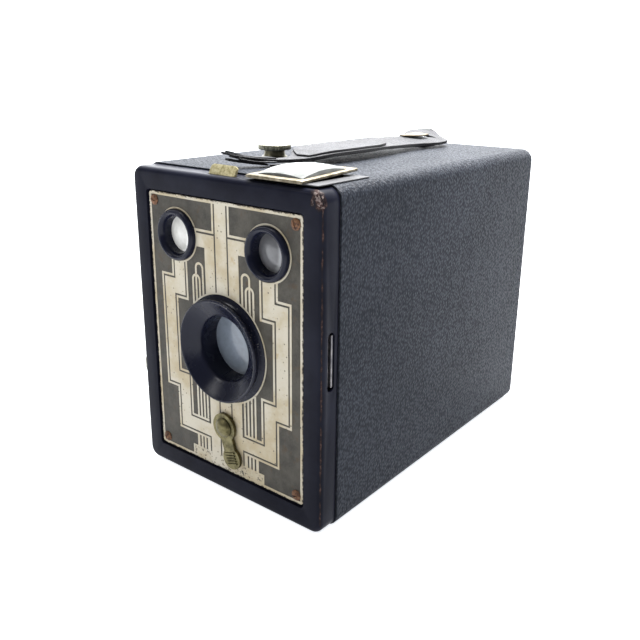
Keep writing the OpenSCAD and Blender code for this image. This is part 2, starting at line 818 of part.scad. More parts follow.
// the board that carries the shutter, with its slots
module shutter_board() {
    color("dimgray")
        difference() {
            slab(2 * carrier_x - 2 * carrier_t - 0.4, board_top - board_low, board_t, 3, board_y,
                (board_top + board_low) / 2);
            bar(0, axis_z, board_y - 1, 3, 7.5);
            bar(disc_x, axis_z, board_y - 1, 3, 1.2);
            bar(-release_x, release_z, board_y - 1, 3, 1.5);
            // way of the release lever's drive leg
            plate(board_y - 1, 3)
                translate([-release_x, release_z])
                    for (a = [0:release_swing / 5:release_swing])
                        rotate(a) translate([release_leg, 0]) circle(1.5);
        }
}

// turning disc with one opening
module shutter_disc() {
    color("black")
        difference() {
            bar(disc_x, axis_z, disc_y, disc_t, spin_r + opening_r + 1.4);
            translate([disc_x, 0, axis_z])
                rotate([0, opening_rest, 0]) bar(-spin_r, 0, disc_y - 1, 3, opening_r);
            bar(disc_x, axis_z, disc_y - 1, 3, 1.2 + running);
        }
}

module shutter_pins() {
    color("silver") {
        bar(disc_x, axis_z, board_y, stop_y - board_y + stop_t, 1.2);
        bar(disc_x, axis_z, board_y - 0.5, 0.5, 2);
        bar(-release_x, release_z, front_y + face_t, board_y + board_t - front_y - face_t, 1.5);
        bar(-release_x, release_z, release_y + 1 + loose, 1, 2.4);
    }
}

// a light coil that pulls the disc back
module shutter_spring() {
    turns = 4;
    steps = 12;
    coil_r = 2.9;
    color("silver")
        wire([for (i = [0:turns * steps])
            [disc_x + coil_r * cos(360 * i / steps), board_y - 3.6 + 2.9 * i / (turns * steps),
                axis_z + coil_r * sin(360 * i / steps)]], 0.25, 6);
}

// finger tab, arm and drive leg on one pivot
module release_lever() {
    tip = release_arm;
    color("darkkhaki")
        difference() {
            union() {
                plate(release_y, 1)
                    translate([-release_x, release_z])
                        union() {
                            circle(3.4);
                            translate([-tip + 4, -1.8]) square([tip - 4, 3.6]);
                            translate([-tip + 1.5, -3]) square([3.5, 6]);
                            translate([-tip, -1.5]) square([3, 3]);
                            for (sz = [-1, 1]) translate([-tip + 1.5, 1.5 * sz]) circle(1.5);
                            translate([0, -1.2]) square([release_leg, 2.4]);
                            translate([release_leg, 0]) circle(1.2);
                        }
                bar(-release_x + release_leg, release_z, release_y,
                    board_y + board_t - release_y + 0.2, 1);
            }
            bar(-release_x, release_z, release_y - 1, 3, 1.5 + running);
        }
}

// pull-up tab, its top bent back over the rim
module time_tab() {
    y0 = front_y + face_t + 0.3;
    color("darkkhaki")
        difference() {
            union() {
                translate([-tab_x - tab_w / 2, y0, body_h - 12]) cube([tab_w, 0.8, 11.7]);
                translate([-tab_x, y0, body_h - 0.3])
                    rotate([-30, 0, 0])
                        translate([0, 0.8, -0.2]) rotate([90, 0, 0])
                            linear_extrude(0.8)
                                union() {
                                    translate([-tab_w / 2, 0]) square([tab_w, 2]);
                                    translate([-tab_w / 2 + 1.2, 0]) square([tab_w - 2.4, 3.2]);
                                    for (sx = [-1, 1]) translate([sx * (tab_w / 2 - 1.2), 2]) circle(1.2);
                                }
            }
            translate([-tab_x - 1.2, y0 - 1, body_h - 10]) cube([2.4, 3, 5]);
        }
}

// finger lever under the lens: round eye, neck and ribbed lobe
module selector_lever() {
    color("darkkhaki")
        translate([0, plate_y - 0.3, selector_z])
            rotate([0, -selector_rest, 0])
                rotate([90, 0, 0])
                    difference() {
                        union() {
                            linear_extrude(1)
                                union() {
                                    circle(4.6);
                                    translate([0, -selector_l]) circle(3.6);
                                    translate([-2.4, -selector_l]) square([4.8, selector_l]);
                                }
                            translate([0, -selector_l, 1])
                                for (k = [-2:2])
                                    translate([-2, 0.9 * k - 0.25, 0]) cube([4, 0.5, 0.4]);
                        }
                        translate([0, 0, -1]) cylinder(h = 3, r = 1.6);
                    }
}

// domed rivet and the spindle that carries the close-up arm
module selector_rivet() {
    color("darkkhaki") {
        bar(0, selector_z, plate_y - 1.3, arm_y + 1 - plate_y + 1.3, 1.6);
        translate([0, plate_y - 1.3, selector_z])
            rotate([90, 0, 0])
                intersection() {
                    cylinder(h = 3, r = 3.2);
                    translate([0, 0, -2.6]) sphere(4.3);
                }
    }
}

module swung() {
    translate([0, 0, selector_z]) rotate([0, -arm_swing, 0]) children();
}

module close_up_arm() {
    color("silver")
        swung()
            difference() {
                plate(arm_y, 1)
                    union() {
                        circle(4);
                        translate([-2.5, 0]) square([5, arm_l - close_r]);
                        translate([0, arm_l]) circle(close_r + 1.4);
                    }
                bar(0, arm_l, arm_y - 1, 3, close_r + 0.05);
                bar(0, 0, arm_y - 1, 3, 1.6);
            }
}

module close_up_lens() {
    color("lightcyan") swung() bar(0, arm_l, arm_y - 0.2, 1.4, close_r);
}

// sprung strip beside the carrier, with a finger pad behind the slot in the right rim
module front_catch() {
    x = carrier_x + 0.1;
    color("silver") {
        translate([x, front_y + face_t + 0.4, catch_z - catch_h / 2 + 1]) cube([0.3, catch_l, catch_h - 2]);
        translate([x, front_y + face_t + 2.2, catch_z - catch_h / 2 + 1])
            cube([rim_w / 2 - rim_t - x + 0.6, 0.8, catch_h - 2]);
    }
}

module stop_plate() {
    color("black")
        difference() {
            slab(34, 30, stop_t, 3, stop_y, axis_z);
            bar(0, axis_z, stop_y - 1, 3, 3.8);
            bar(disc_x, axis_z, stop_y - 1, 3, 1.2 + running);
        }
}

module lens_cell() {
    color("black")
        turned(0, stop_y + stop_t, axis_z, [
            [8.2, 0], [10.4, 0], [10.4, cell_l], [7.4, cell_l], [7.4, cell_l - 0.8], [8.2, cell_l - 0.8],
        ]);
}

// meniscus of glass, hollow to the front
module main_lens() {
    y = stop_y + stop_t;
    color("lightcyan")
        intersection() {
            bar(0, axis_z, y, cell_l - 0.8, 8.15);
            difference() {
                translate([0, y + 3 - 22, axis_z]) sphere(22);
                translate([0, y + 1 - 26, axis_z]) sphere(26);
            }
        }
}

// ---- light cone and film path -------------------------------------------

// one wall of the four-sided cone from the lens to the film gate: 0 top, 1 right, 2 floor, 3 left
module cone_wall(side) {
    corners = [[-1, 1], [1, 1], [1, -1], [-1, -1]];
    pair = [corners[side], corners[(side + 1) % 4]];
    ends = [[cone_y + 1, 10.2, 10.2], [gate_y, frame_w / 2 + 0.5, frame_h / 2 + 0.5]];
    color("black")
        hull()
            polyhedron(
                [for (e = ends, t = [0, cone_t], c = pair)
                    [c.x * (e[1] + t), e[0], axis_z + c.y * (e[2] + t)]],
                [[0, 1, 3, 2], [4, 6, 7, 5], [0, 4, 5, 1], [2, 3, 7, 6], [0, 2, 6, 4], [1, 5, 7, 3]]);
}

module cone_top_floor() { for (side = [0, 2]) cone_wall(side); }
module cone_sides() { for (side = [1, 3]) cone_wall(side); }

module cone_front() {
    color("black")
        difference() {
            slab(26, 30, 1, 3, cone_y, axis_z);
            bar(0, axis_z, cone_y - 1, 3, 7.4);
        }
}

// pressed frame that slides in the sleeve: two sides joined at the front and by
// the rail for the lock knob, with the bearings of the film path
module film_carrier() {
    y0 = front_y + face_t;
    l = gate_y + gate_t - y0;
    r = corner_r - wall_z - slide_gap;
    rail0 = lock_depth - 7;
    rail1 = lock_depth + 7;
    color("dimgray")
        difference() {
            slab(2 * carrier_x, carrier_h, l, r, y0, body_h / 2);
            slab(2 * (carrier_x - carrier_t), carrier_h - 2 * carrier_t, l + 2, r - carrier_t, y0 - 1,
                body_h / 2);
            // open top, in front of and behind the rail, and open bottom
            translate([-carrier_x + 2.2, y0 - 1, rail_z - 3])
                cube([2 * carrier_x - 4.4, rail0 - face_t + 1, 8]);
            translate([-carrier_x + 5, front_y + rail1, rail_z - 3]) cube([2 * carrier_x - 10, body_d, 8]);
            translate([-carrier_x + 2.2, front_y + rim_d + 1, -1]) cube([2 * carrier_x - 4.4, body_d, 8]);
            // slot that lets the lock knob's stem out to the back
            translate([-lock_x - lock_stem_r - loose, front_y + lock_depth - lock_stem_r - loose, rail_z - 1])
                cube([2 * (lock_stem_r + loose), 20, 3]);
            // ways for the side finder, the release lever and the catch
            translate([-carrier_x - 1, y0 - 1, finder_z - box_w / 2 - 0.1])
                cube([3, mount_l - face_t + 1, box_w + 0.2]);
            translate([-carrier_x - 1, y0 - 1, release_z - release_drop - 4])
                cube([3, 4, release_drop + 8]);
            translate([carrier_x - 2, y0 - 1, catch_z - catch_h / 2])
                cube([4, catch_l + 1.4 - catch_root, catch_h]);
            for (sx = [-1, 1]) {
                for (z = [top_spool_z, low_spool_z]) axle(sx * carrier_x - 3, spool_y, z, 6, pin_r + running);
                for (sz = [-1, 1]) axle(sx * carrier_x - 3, roller_y, axis_z + sz * roller_dz, 6, 1);
            }
        }
}

module film_gate() {
    color("dimgray")
        difference() {
            slab(2 * carrier_x - 2 * carrier_t, frame_h + 6, gate_t, 3, gate_y, axis_z);
            translate([-frame_w / 2, gate_y - 1, axis_z - frame_h / 2]) cube([frame_w, 4, frame_h]);
        }
}

module roller(z) {
    l = 2 * carrier_x - 2 * carrier_t - 3;
    difference() {
        axle(-l / 2, roller_y, z, l, roller_r);
        for (sx = [-1, 1]) axle(sx * (l / 2 - 2) - 2.5, roller_y, z, 5, 1 + running);
    }
}

module roller_top() { color("silver") roller(axis_z + roller_dz); }
module roller_bottom() { color("silver") roller(axis_z - roller_dz); }

module film_pins() {
    l = 2 * carrier_x - 2 * carrier_t - 3;
    spool_pin_l = carrier_x - spool_l / 2 + 5;
    color("silver") {
        for (sx = [-1, 1], sz = [-1, 1])
            axle(sx > 0 ? l / 2 - 3 : -carrier_x + 0.6, roller_y, axis_z + sz * roller_dz,
                carrier_x - l / 2 + 2.4, 1);
        for (e = [[1, top_spool_z], [1, low_spool_z], [-1, low_spool_z]])
            axle(e[0] > 0 ? carrier_x - spool_pin_l : -carrier_x, spool_y, e[1], spool_pin_l, pin_r);
    }
}

// a spool along X: core, two flanges, a bore and a drive slot
module spool(z) {
    translate([0, spool_y, z])
        difference() {
            union() {
                axle(-spool_l / 2, 0, 0, spool_l, 4.8);
                for (x = [-spool_l / 2, spool_l / 2 - 1.4]) axle(x, 0, 0, 1.4, flange_r);
            }
            for (sx = [-1, 1]) axle(sx * (spool_l / 2 - 3.5) - 3.5, 0, 0, 7, pin_r + running);
            translate([-spool_l / 2 - 1, -0.7, -3.4]) cube([5, 1.4, 6.8]);
            // slit for the end of the backing paper
            translate([-spool_l / 2 + 9, -0.6, -6]) cube([spool_l - 18, 1.2, 12]);
        }
}

module supply_spool() { color("firebrick") spool(low_spool_z); }
module takeup_spool() { color("firebrick") spool(top_spool_z); }

// three fixed pins that the spools turn on
// the key's shaft with its blade; pulled out by its travel, it lets go of the spool
module key_shaft() {
    in_end = spool_l / 2 + loose - key_travel;
    blade_l = 2;
    color("silver")
        translate([-body_w / 2 - 3, spool_y, top_spool_z])
            union() {
                rotate([0, 90, 0]) cylinder(h = body_w / 2 + 3 - in_end, r = pin_r);
                translate([body_w / 2 + 3 - in_end - blade_l, -0.5, -3.1]) cube([blade_l, 1, 6.2]);
            }
}

// collar that slides with the shaft and doesn't turn
module key_collar() {
    color("silver")
        difference() {
            axle(-carrier_x - 1.8, spool_y, top_spool_z, 0.9, key_slot - loose);
            axle(-carrier_x - 3, spool_y, top_spool_z, 4, pin_r + running);
        }
}

// winding key: a ribbed knob with a grip
module winding_key() {
    x = -body_w / 2 - 0.5;
    color("darkkhaki")
        translate([x, spool_y, top_spool_z])
            rotate([0, -90, 0])
                difference() {
                    union() {
                        rotate_extrude()
                            polygon([[0, 0], [6, 0], [6, 0.8], [4.4, 1.6], [4.4, 2.6], [8.2, 3.2], [8.6, 3.6],
                                [8.6, 5.6], [8.2, 6], [0, 6.4]]);
                        translate([-7, -0.9, 5]) cube([14, 1.8, 5]);
                    }
                    translate([0, 0, -1]) cylinder(h = 3.5, r = pin_r);
                    for (k = [0:23])
                        rotate([0, 0, 15 * k]) translate([8.7, 0, 3]) cylinder(h = 4, r = 0.45, $fn = 4);
                }
}

sleeve_top();
sleeve_right();
sleeve_floor();
sleeve_left();
sleeve_back();
leatherette();
leatherette_floor();
pressure_plate();
pressure_springs();
ruby_ring();
ruby_window();
tripod_bush();
strap();
strap_clip_front();
strap_clip_rear();
lock_knob();
clamp_nut();
front_panel();
face_plate();
plate_enamel();
plate_screws();
lens_hood();
front_glass();
glass_ring();
bezels();
finder_lenses();
finder_box_top();
finder_box_side();
finder_mirrors();
top_screen_frame();
top_screen();
side_screen_frame();
side_screen();
shutter_board();
shutter_disc();
shutter_pins();
shutter_spring();
release_lever();
time_tab();
selector_lever();
selector_rivet();
close_up_arm();
close_up_lens();
front_catch();
stop_plate();
lens_cell();
main_lens();
cone_front();
cone_top_floor();
cone_sides();
film_carrier();
film_gate();
roller_top();
roller_bottom();
supply_spool();
takeup_spool();
film_pins();
key_shaft();
key_collar();
winding_key();
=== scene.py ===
"""Box camera: the looks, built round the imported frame. Metres; +Z up, -Y the lens side."""

import json
import math
import random

import bpy
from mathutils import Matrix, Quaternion, Vector


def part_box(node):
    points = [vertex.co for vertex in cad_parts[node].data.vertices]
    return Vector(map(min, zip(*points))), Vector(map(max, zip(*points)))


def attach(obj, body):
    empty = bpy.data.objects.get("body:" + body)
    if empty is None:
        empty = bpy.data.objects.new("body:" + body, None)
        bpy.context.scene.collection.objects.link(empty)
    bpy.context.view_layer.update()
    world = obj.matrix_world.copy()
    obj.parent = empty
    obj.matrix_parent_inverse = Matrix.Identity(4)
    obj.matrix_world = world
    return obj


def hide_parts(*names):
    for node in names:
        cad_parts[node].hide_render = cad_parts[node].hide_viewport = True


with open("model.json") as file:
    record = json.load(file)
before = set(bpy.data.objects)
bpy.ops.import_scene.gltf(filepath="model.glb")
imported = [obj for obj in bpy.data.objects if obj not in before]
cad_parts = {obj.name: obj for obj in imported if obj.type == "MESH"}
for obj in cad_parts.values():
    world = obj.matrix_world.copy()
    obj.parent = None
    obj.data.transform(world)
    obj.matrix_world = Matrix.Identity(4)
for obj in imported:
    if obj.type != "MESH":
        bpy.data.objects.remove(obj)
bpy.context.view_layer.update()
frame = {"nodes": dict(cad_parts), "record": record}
NODES = frame["nodes"]
MM = 0.001

# ---- places, all from the frame ------------------------------------------------

skin_low, skin_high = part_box("leatherette")
panel_low, panel_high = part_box("front_panel")
plate_low, plate_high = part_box("face_plate")
hood_low, hood_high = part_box("lens_hood")
glass_low, glass_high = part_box("front_glass")
knob_low, knob_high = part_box("lock_knob")

FRONT = panel_low.y                        # the panel's face
TOP = skin_high.z                          # top of the covered body
BACK = skin_high.y
HALF_W = skin_high.x
PLATE = plate_low.y                        # the face plate's face
LENS_Z = (glass_low.z + glass_high.z) / 2  # the lens axis
HOOD_R = (hood_high.x - hood_low.x) / 2
PLATE_Z = (plate_low.z + plate_high.z) / 2
PLATE_HW = (plate_high.x - plate_low.x) / 2
PLATE_HH = (plate_high.z - plate_low.z) / 2
EDGE_X = panel_high.x


# ---- modelling helpers ----------------------------------------------------------

def deselect():
    """Nothing selected and object mode on."""
    if bpy.context.object and bpy.context.object.mode != "OBJECT":
        bpy.ops.object.mode_set(mode="OBJECT")
    bpy.ops.object.select_all(action="DESELECT")


def pick(piece):
    """The piece alone is selected and active."""
    deselect()
    piece.select_set(True)
    bpy.context.view_layer.objects.active = piece


def settle(piece, name):
    """The piece gets its name, and its place goes into its mesh."""
    pick(piece)
    piece.name = name
    piece.data.name = name
    bpy.ops.object.transform_apply(location=True, rotation=True, scale=True)
    return piece


def edit(piece, mode="FACE"):
    """Edit mode on the piece, nothing selected."""
    pick(piece)
    bpy.ops.object.mode_set(mode="EDIT")
    bpy.ops.mesh.select_mode(type=mode)
    bpy.ops.mesh.select_all(action="DESELECT")


def done(piece):
    """Back to object mode."""
    bpy.ops.object.mode_set(mode="OBJECT")
    return piece


def faces_where(piece, test):
    """Selects the faces whose centre and normal pass the test, from edit mode."""
    bpy.ops.object.mode_set(mode="OBJECT")
    for face in piece.data.polygons:
        face.select = bool(test(face.center, face.normal))
    bpy.ops.object.mode_set(mode="EDIT")


def edges_where(piece, test):
    """Selects the edges whose two ends pass the test, from edit mode."""
    bpy.ops.object.mode_set(mode="OBJECT")
    mesh = piece.data
    for vert in mesh.vertices:
        vert.select = False
    for face in mesh.polygons:
        face.select = False
    for line in mesh.edges:
        a, b = (mesh.vertices[i].co for i in line.vertices)
        line.select = bool(test(a, b))
    bpy.ops.object.mode_set(mode="EDIT")


def finish_with(piece, kind, **settings):
    """A modifier on the piece, applied."""
    pick(piece)
    modifier = piece.modifiers.new(kind.lower(), kind)
    for key, value in settings.items():
        setattr(modifier, key, value)
    bpy.ops.object.modifier_apply(modifier=modifier.name)
    return piece


def smooth(piece, angle=35):
    """Smooth shading up to an angle between faces."""
    pick(piece)
    bpy.ops.object.shade_smooth_by_angle(angle=math.radians(angle))
    return piece


def recalculate(piece):
    """Doubles merged and faces turned outwards."""
    edit(piece)
    bpy.ops.mesh.select_all(action="SELECT")
    bpy.ops.mesh.remove_doubles(threshold=0.000003)
    bpy.ops.mesh.normals_make_consistent(inside=False)
    return done(piece)


def copied(node):
    """A merged copy of a CAD node, free of the node's own settings."""
    pick(NODES[node])
    bpy.ops.object.duplicate()
    piece = bpy.context.object
    for key in list(piece.keys()):
        del piece[key]
    piece.parent = None
    piece.data.materials.clear()
    settle(piece, node + "_finish")
    edit(piece)
    bpy.ops.mesh.select_all(action="SELECT")
    bpy.ops.mesh.customdata_custom_splitnormals_clear()
    bpy.ops.mesh.remove_doubles(threshold=0.000004)
    bpy.ops.mesh.dissolve_limited(angle_limit=math.radians(0.4))
    return done(piece)


def softened(node, width=0.12 * MM, segments=2, angle=32):
    """A copy of a CAD node with its sharp edges broken by a small round."""
    piece = copied(node)
    if width:
        finish_with(piece, "BEVEL", width=width, segments=segments, limit_method="ANGLE",
                    angle_limit=math.radians(angle), use_clamp_overlap=True, miter_outer="MITER_ARC")
    smooth(piece, angle)
    return piece


def turned(name, centre, profile, sides=96):
    """A closed ring or cap turned about a line along Y; the profile is (radius, y) from ring to ring."""
    deselect()
    profile = [(max(radius, 1e-6), y) for radius, y in profile]
    radius, y = profile[0]
    bpy.ops.mesh.primitive_circle_add(vertices=sides, radius=radius, rotation=(math.pi / 2, 0, 0),
                                      location=(centre[0], y, centre[1]))
    piece = bpy.context.object
    bpy.ops.object.mode_set(mode="EDIT")
    bpy.ops.mesh.select_mode(type="EDGE")
    bpy.ops.mesh.select_all(action="SELECT")
    for next_radius, next_y in profile[1:]:
        share = next_radius / radius
        bpy.ops.mesh.extrude_edges_move()
        bpy.ops.transform.resize(value=(share, 1, share), center_override=(centre[0], y, centre[1]))
        bpy.ops.transform.translate(value=(0, next_y - y, 0))
        radius, y = next_radius, next_y
    done(piece)
    settle(piece, name)
    return recalculate(piece)


def arc(cx, cy, radius, start, end, steps):
    """Points of an arc in the (radius, y) plane, angles in degrees."""
    return [(cx + radius * math.cos(math.radians(start + (end - start) * i / steps)),
             cy + radius * math.sin(math.radians(start + (end - start) * i / steps)))
            for i in range(steps + 1)]


def place_on(piece, body, slot_name, material, *nodes):
    """Material, body and the CAD nodes that the piece stands for; slot_name is not used."""
    piece.data.materials.clear()
    piece.data.materials.append(material)
    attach(piece, body)
    if nodes:
        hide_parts(*nodes)
    return piece


# ---- material helpers -------------------------------------------------------------

class Finish:
    """A material's nodes, from the object's own place to the shader."""

    def __init__(self, name, colour, roughness=0.5, metallic=0.0, **sockets):
        self.material = bpy.data.materials.new(name)
        self.material.use_nodes = True
        self.nodes = self.material.node_tree.nodes
        self.links = self.material.node_tree.links
        self.shader = self.nodes["Principled BSDF"]
        self.shader.inputs["Base Color"].default_value = (*colour, 1)
        self.shader.inputs["Roughness"].default_value = roughness
        self.shader.inputs["Metallic"].default_value = metallic
        for socket, value in sockets.items():
            self.shader.inputs[socket.replace("_", " ")].default_value = value
        self.place = self.nodes.new("ShaderNodeTexCoord").outputs["Object"]
        apart = self.nodes.new("ShaderNodeSeparateXYZ")
        self.links.new(self.place, apart.inputs[0])
        self.x, self.y, self.z = apart.outputs

    def feed(self, socket, value):
        """A socket takes a link or a plain value."""
        if isinstance(value, bpy.types.NodeSocket):
            self.links.new(value, socket)
        elif isinstance(value, tuple) and len(value) == 3 and socket.type == "RGBA":
            socket.default_value = (*value, 1)
        else:
            socket.default_value = value

    def math(self, operation, a, b=0.0, c=0.0, clamp=False):
        node = self.nodes.new("ShaderNodeMath")
        node.operation = operation
        node.use_clamp = clamp
        for socket, value in zip(node.inputs, (a, b, c)):
            self.feed(socket, value)
        return node.outputs[0]

    def turned_place(self, turn=(0, 0, 0), scale=(1, 1, 1), at=None, kind="POINT"):
        """The place turned and scaled; with kind TEXTURE it is turned first, then stretched."""
        node = self.nodes.new("ShaderNodeMapping")
        node.vector_type = kind
        self.feed(node.inputs["Vector"], at or self.place)
        node.inputs["Rotation"].default_value = [math.radians(a) for a in turn]
        node.inputs["Scale"].default_value = scale
        return node.outputs[0]

    def noise(self, size, detail=3.0, roughness=0.55, at=None, warp=0.0):
        """Cloudy pattern from 0 to 1, its patches about size metres across."""
        node = self.nodes.new("ShaderNodeTexNoise")
        self.feed(node.inputs["Vector"], at or self.place)
        node.inputs["Scale"].default_value = 1 / size
        node.inputs["Detail"].default_value = detail
        node.inputs["Roughness"].default_value = roughness
        node.inputs["Distortion"].default_value = warp
        return node.outputs["Fac"]

    def cells(self, size, feature="F1", at=None, output="Distance", randomness=1.0, soft=0.35):
        """Pebbles or spots about size metres across."""
        node = self.nodes.new("ShaderNodeTexVoronoi")
        node.feature = feature
        self.feed(node.inputs["Vector"], at or self.place)
        node.inputs["Scale"].default_value = 1 / size
        node.inputs["Randomness"].default_value = randomness
        if feature == "SMOOTH_F1":
            node.inputs["Smoothness"].default_value = soft
        return node.outputs[output]

    def ramp(self, value, low, high, out_low=0.0, out_high=1.0):
        """Smooth step of a value between low and high."""
        node = self.nodes.new("ShaderNodeMapRange")
        node.interpolation_type = "SMOOTHSTEP"
        for key, number in (("Value", value), ("From Min", low), ("From Max", high),
                            ("To Min", out_low), ("To Max", out_high)):
            self.feed(node.inputs[key], number)
        return node.outputs[0]

    def mix(self, share, a, b):
        node = self.nodes.new("ShaderNodeMix")
        node.data_type = "RGBA"
        sockets = [s for s in node.inputs if s.enabled]
        self.feed(sockets[0], share)
        self.feed(sockets[1], a)
        self.feed(sockets[2], b)
        return [s for s in node.outputs if s.enabled][0]

    def colour(self, value):
        self.feed(self.shader.inputs["Base Color"], value)

    def rough(self, value):
        self.feed(self.shader.inputs["Roughness"], value)

    def metal(self, value):
        self.feed(self.shader.inputs["Metallic"], value)

    def bump(self, height, depth, strength=1.0, under=None):
        """Relief of the given depth in metres."""
        node = self.nodes.new("ShaderNodeBump")
        node.inputs["Distance"].default_value = depth
        node.inputs["Strength"].default_value = strength
        self.feed(node.inputs["Height"], height)
        if under is not None:
            self.links.new(under, node.inputs["Normal"])
        self.links.new(node.outputs[0], self.shader.inputs["Normal"])
        return node.outputs[0]

    def near(self, value, target, reach):
        """1 where a value is at the target, falling to 0 at reach from it."""
        return self.ramp(self.math("ABSOLUTE", self.math("SUBTRACT", value, target)), 0.0, reach, 1.0, 0.0)

    def both(self, a, b):
        return self.math("MULTIPLY", a, b)

    def either(self, a, b):
        return self.math("MAXIMUM", a, b)


# ---- finishes ---------------------------------------------------------------------

def make_leatherette():
    """Coated cloth with a fine slanted ridge grain, shiny on the ridges and dull between them; its colour holds a
    painted highlight on the ridges and painted shade between them.
    """
    f = Finish("leatherette", (0.05, 0.054, 0.07), 0.4, IOR=1.45)
    f.shader.inputs["Specular IOR Level"].default_value = 0.08
    slanted = f.turned_place(turn=(58, 0, -38), scale=(1.0, 1.9, 1.0), kind="TEXTURE")
    ridges = f.cells(0.66 * MM, "SMOOTH_F1", at=slanted, soft=0.25, randomness=0.8)
    fine = f.noise(0.42 * MM, 2, 0.5, at=slanted, warp=0.5)
    grain = f.math("ADD", f.both(ridges, 0.9), f.both(fine, 0.3))
    cloud = f.noise(34 * MM, 3)
    # Painted light in the grain: low is painted shade for the hollows and high a painted highlight for the ridge tops,
    # both clouded at random.
    low = f.mix(f.ramp(cloud, 0.35, 0.68), (0.013, 0.015, 0.020), (0.017, 0.019, 0.025))
    high = f.mix(f.ramp(cloud, 0.35, 0.68), (0.026, 0.030, 0.039), (0.033, 0.038, 0.049))
    base = f.mix(f.ramp(grain, 0.35, 0.80), high, low)
    side = f.ramp(f.math("ABSOLUTE", f.x), HALF_W - 3.0 * MM, HALF_W - 1.2 * MM)
    top = f.ramp(f.z, TOP - 3.0 * MM, TOP - 1.2 * MM)
    rubbed = f.both(f.both(side, top), f.ramp(f.noise(2.2 * MM, 5, 0.7), 0.5, 0.66))
    worn = f.mix(f.both(rubbed, 0.4), base, (0.12, 0.12, 0.13))
    specks = f.ramp(f.cells(8 * MM), 0.0, 0.022, 1.0, 0.0)
    f.colour(f.mix(f.both(specks, 0.5), worn, (0.4, 0.4, 0.42)))
    f.rough(f.ramp(grain, 0.35, 0.8, 0.36, 0.58))
    f.bump(grain, -0.2 * MM, 1.0)
    return f.material


def make_enamel(name="enamel", edges=True):
    """Blue-black stoved enamel; on the panel its edges have rubbed through to brown metal."""
    f = Finish(name, (0.008, 0.009, 0.015), 0.3, IOR=1.4)
    f.shader.inputs["Specular IOR Level"].default_value = 0.07
    peel = f.noise(1.4 * MM, 3, 0.5)
    dust = f.noise(0.3 * MM, 2)
    cloud = f.noise(16 * MM, 3)
    base = f.mix(f.ramp(cloud, 0.35, 0.7), (0.0045, 0.0050, 0.0105), (0.009, 0.010, 0.018))
    if edges:
        along = f.turned_place(scale=(1, 1, 0.45))
        chipped = f.noise(1.3 * MM, 5, 0.65, at=along)
        side = f.ramp(f.math("ABSOLUTE", f.x), EDGE_X - 1.15 * MM, EDGE_X - 0.35 * MM)
        face = f.ramp(f.y, FRONT + 0.25 * MM, FRONT + 1.35 * MM, 1.0, 0.0)
        ends = f.ramp(f.math("ABSOLUTE", f.math("SUBTRACT", f.z, TOP / 2)), TOP / 2 - 1.8 * MM, TOP / 2 - 0.9 * MM)
        front_edge = f.both(f.either(side, f.both(ends, 0.55)), face)
        corner = f.both(f.ramp(f.x, EDGE_X - 7 * MM, EDGE_X - 3 * MM), f.ramp(f.z, TOP - 8 * MM, TOP - 4 * MM))
        corner = f.both(corner, f.ramp(f.y, FRONT + 1.1 * MM, FRONT + 3 * MM, 1.0, 0.0))
        worn = f.math("ADD", f.math("MULTIPLY", f.either(front_edge, f.both(corner, 0.86)), 0.62), chipped)
        rim = f.ramp(worn, 0.86, 0.98)
        base = f.mix(f.both(rim, 0.8), base, (0.014, 0.010, 0.010))
        shown = f.ramp(worn, 0.98, 1.08)
        brown = f.mix(f.ramp(f.noise(0.7 * MM, 4), 0.4, 0.62), (0.026, 0.015, 0.014), (0.078, 0.046, 0.040))
        metal = f.mix(f.both(corner, f.ramp(f.noise(1.1 * MM, 4), 0.5, 0.6)), brown, (0.24, 0.19, 0.175))
        base = f.mix(f.both(shown, 0.85), base, metal)
        f.rough(f.ramp(shown, 0.0, 1.0, 0.30, 0.5))
    f.colour(base)
    relief = f.math("ADD", f.both(peel, 0.7), f.both(dust, 0.3))
    f.bump(relief, 0.035 * MM, 0.6)
    return f.material


def make_gloss(name, radius, centre_x, centre_z, chips):
    """Gloss black enamel on a turned ring, with small chips on the upper right of its rim."""
    f = Finish(name, (0.006, 0.006, 0.010), 0.16, IOR=1.45)
    f.shader.inputs["Specular IOR Level"].default_value = 0.19
    across = f.math("SUBTRACT", f.x, centre_x)
    up = f.math("SUBTRACT", f.z, centre_z)
    away = f.math("SQRT", f.math("ADD", f.math("POWER", across, 2.0), f.math("POWER", up, 2.0)))
    rim = f.near(away, radius, 0.75 * MM)
    around = f.ramp(f.math("DIVIDE", f.math("ADD", across, up), radius), 0.75, 1.3)
    spots = f.noise(0.5 * MM, 4, 0.7)
    chipped = f.both(f.both(rim, around), f.ramp(spots, 0.60, 0.68))
    dust = f.both(f.ramp(f.noise(0.22 * MM, 2), 0.68, 0.78), 0.35)
    base = f.mix(dust, (0.007, 0.008, 0.017), (0.03, 0.03, 0.040))
    f.colour(f.mix(f.both(chipped, chips), base, (0.34, 0.32, 0.30)))
    f.rough(f.ramp(f.noise(7 * MM, 3), 0.3, 0.7, 0.18, 0.30))
    f.bump(f.noise(1.1 * MM, 3), 0.02 * MM, 0.5)
    return f.material


def plate_edge(f):
    """Distance outwards from the plate's outline, negative inside it."""
    across = f.math("SUBTRACT", f.math("ABSOLUTE", f.x), PLATE_HW)
    up = f.math("SUBTRACT", f.math("ABSOLUTE", f.math("SUBTRACT", f.z, PLATE_Z)), PLATE_HH)
    return f.math("MAXIMUM", across, up)


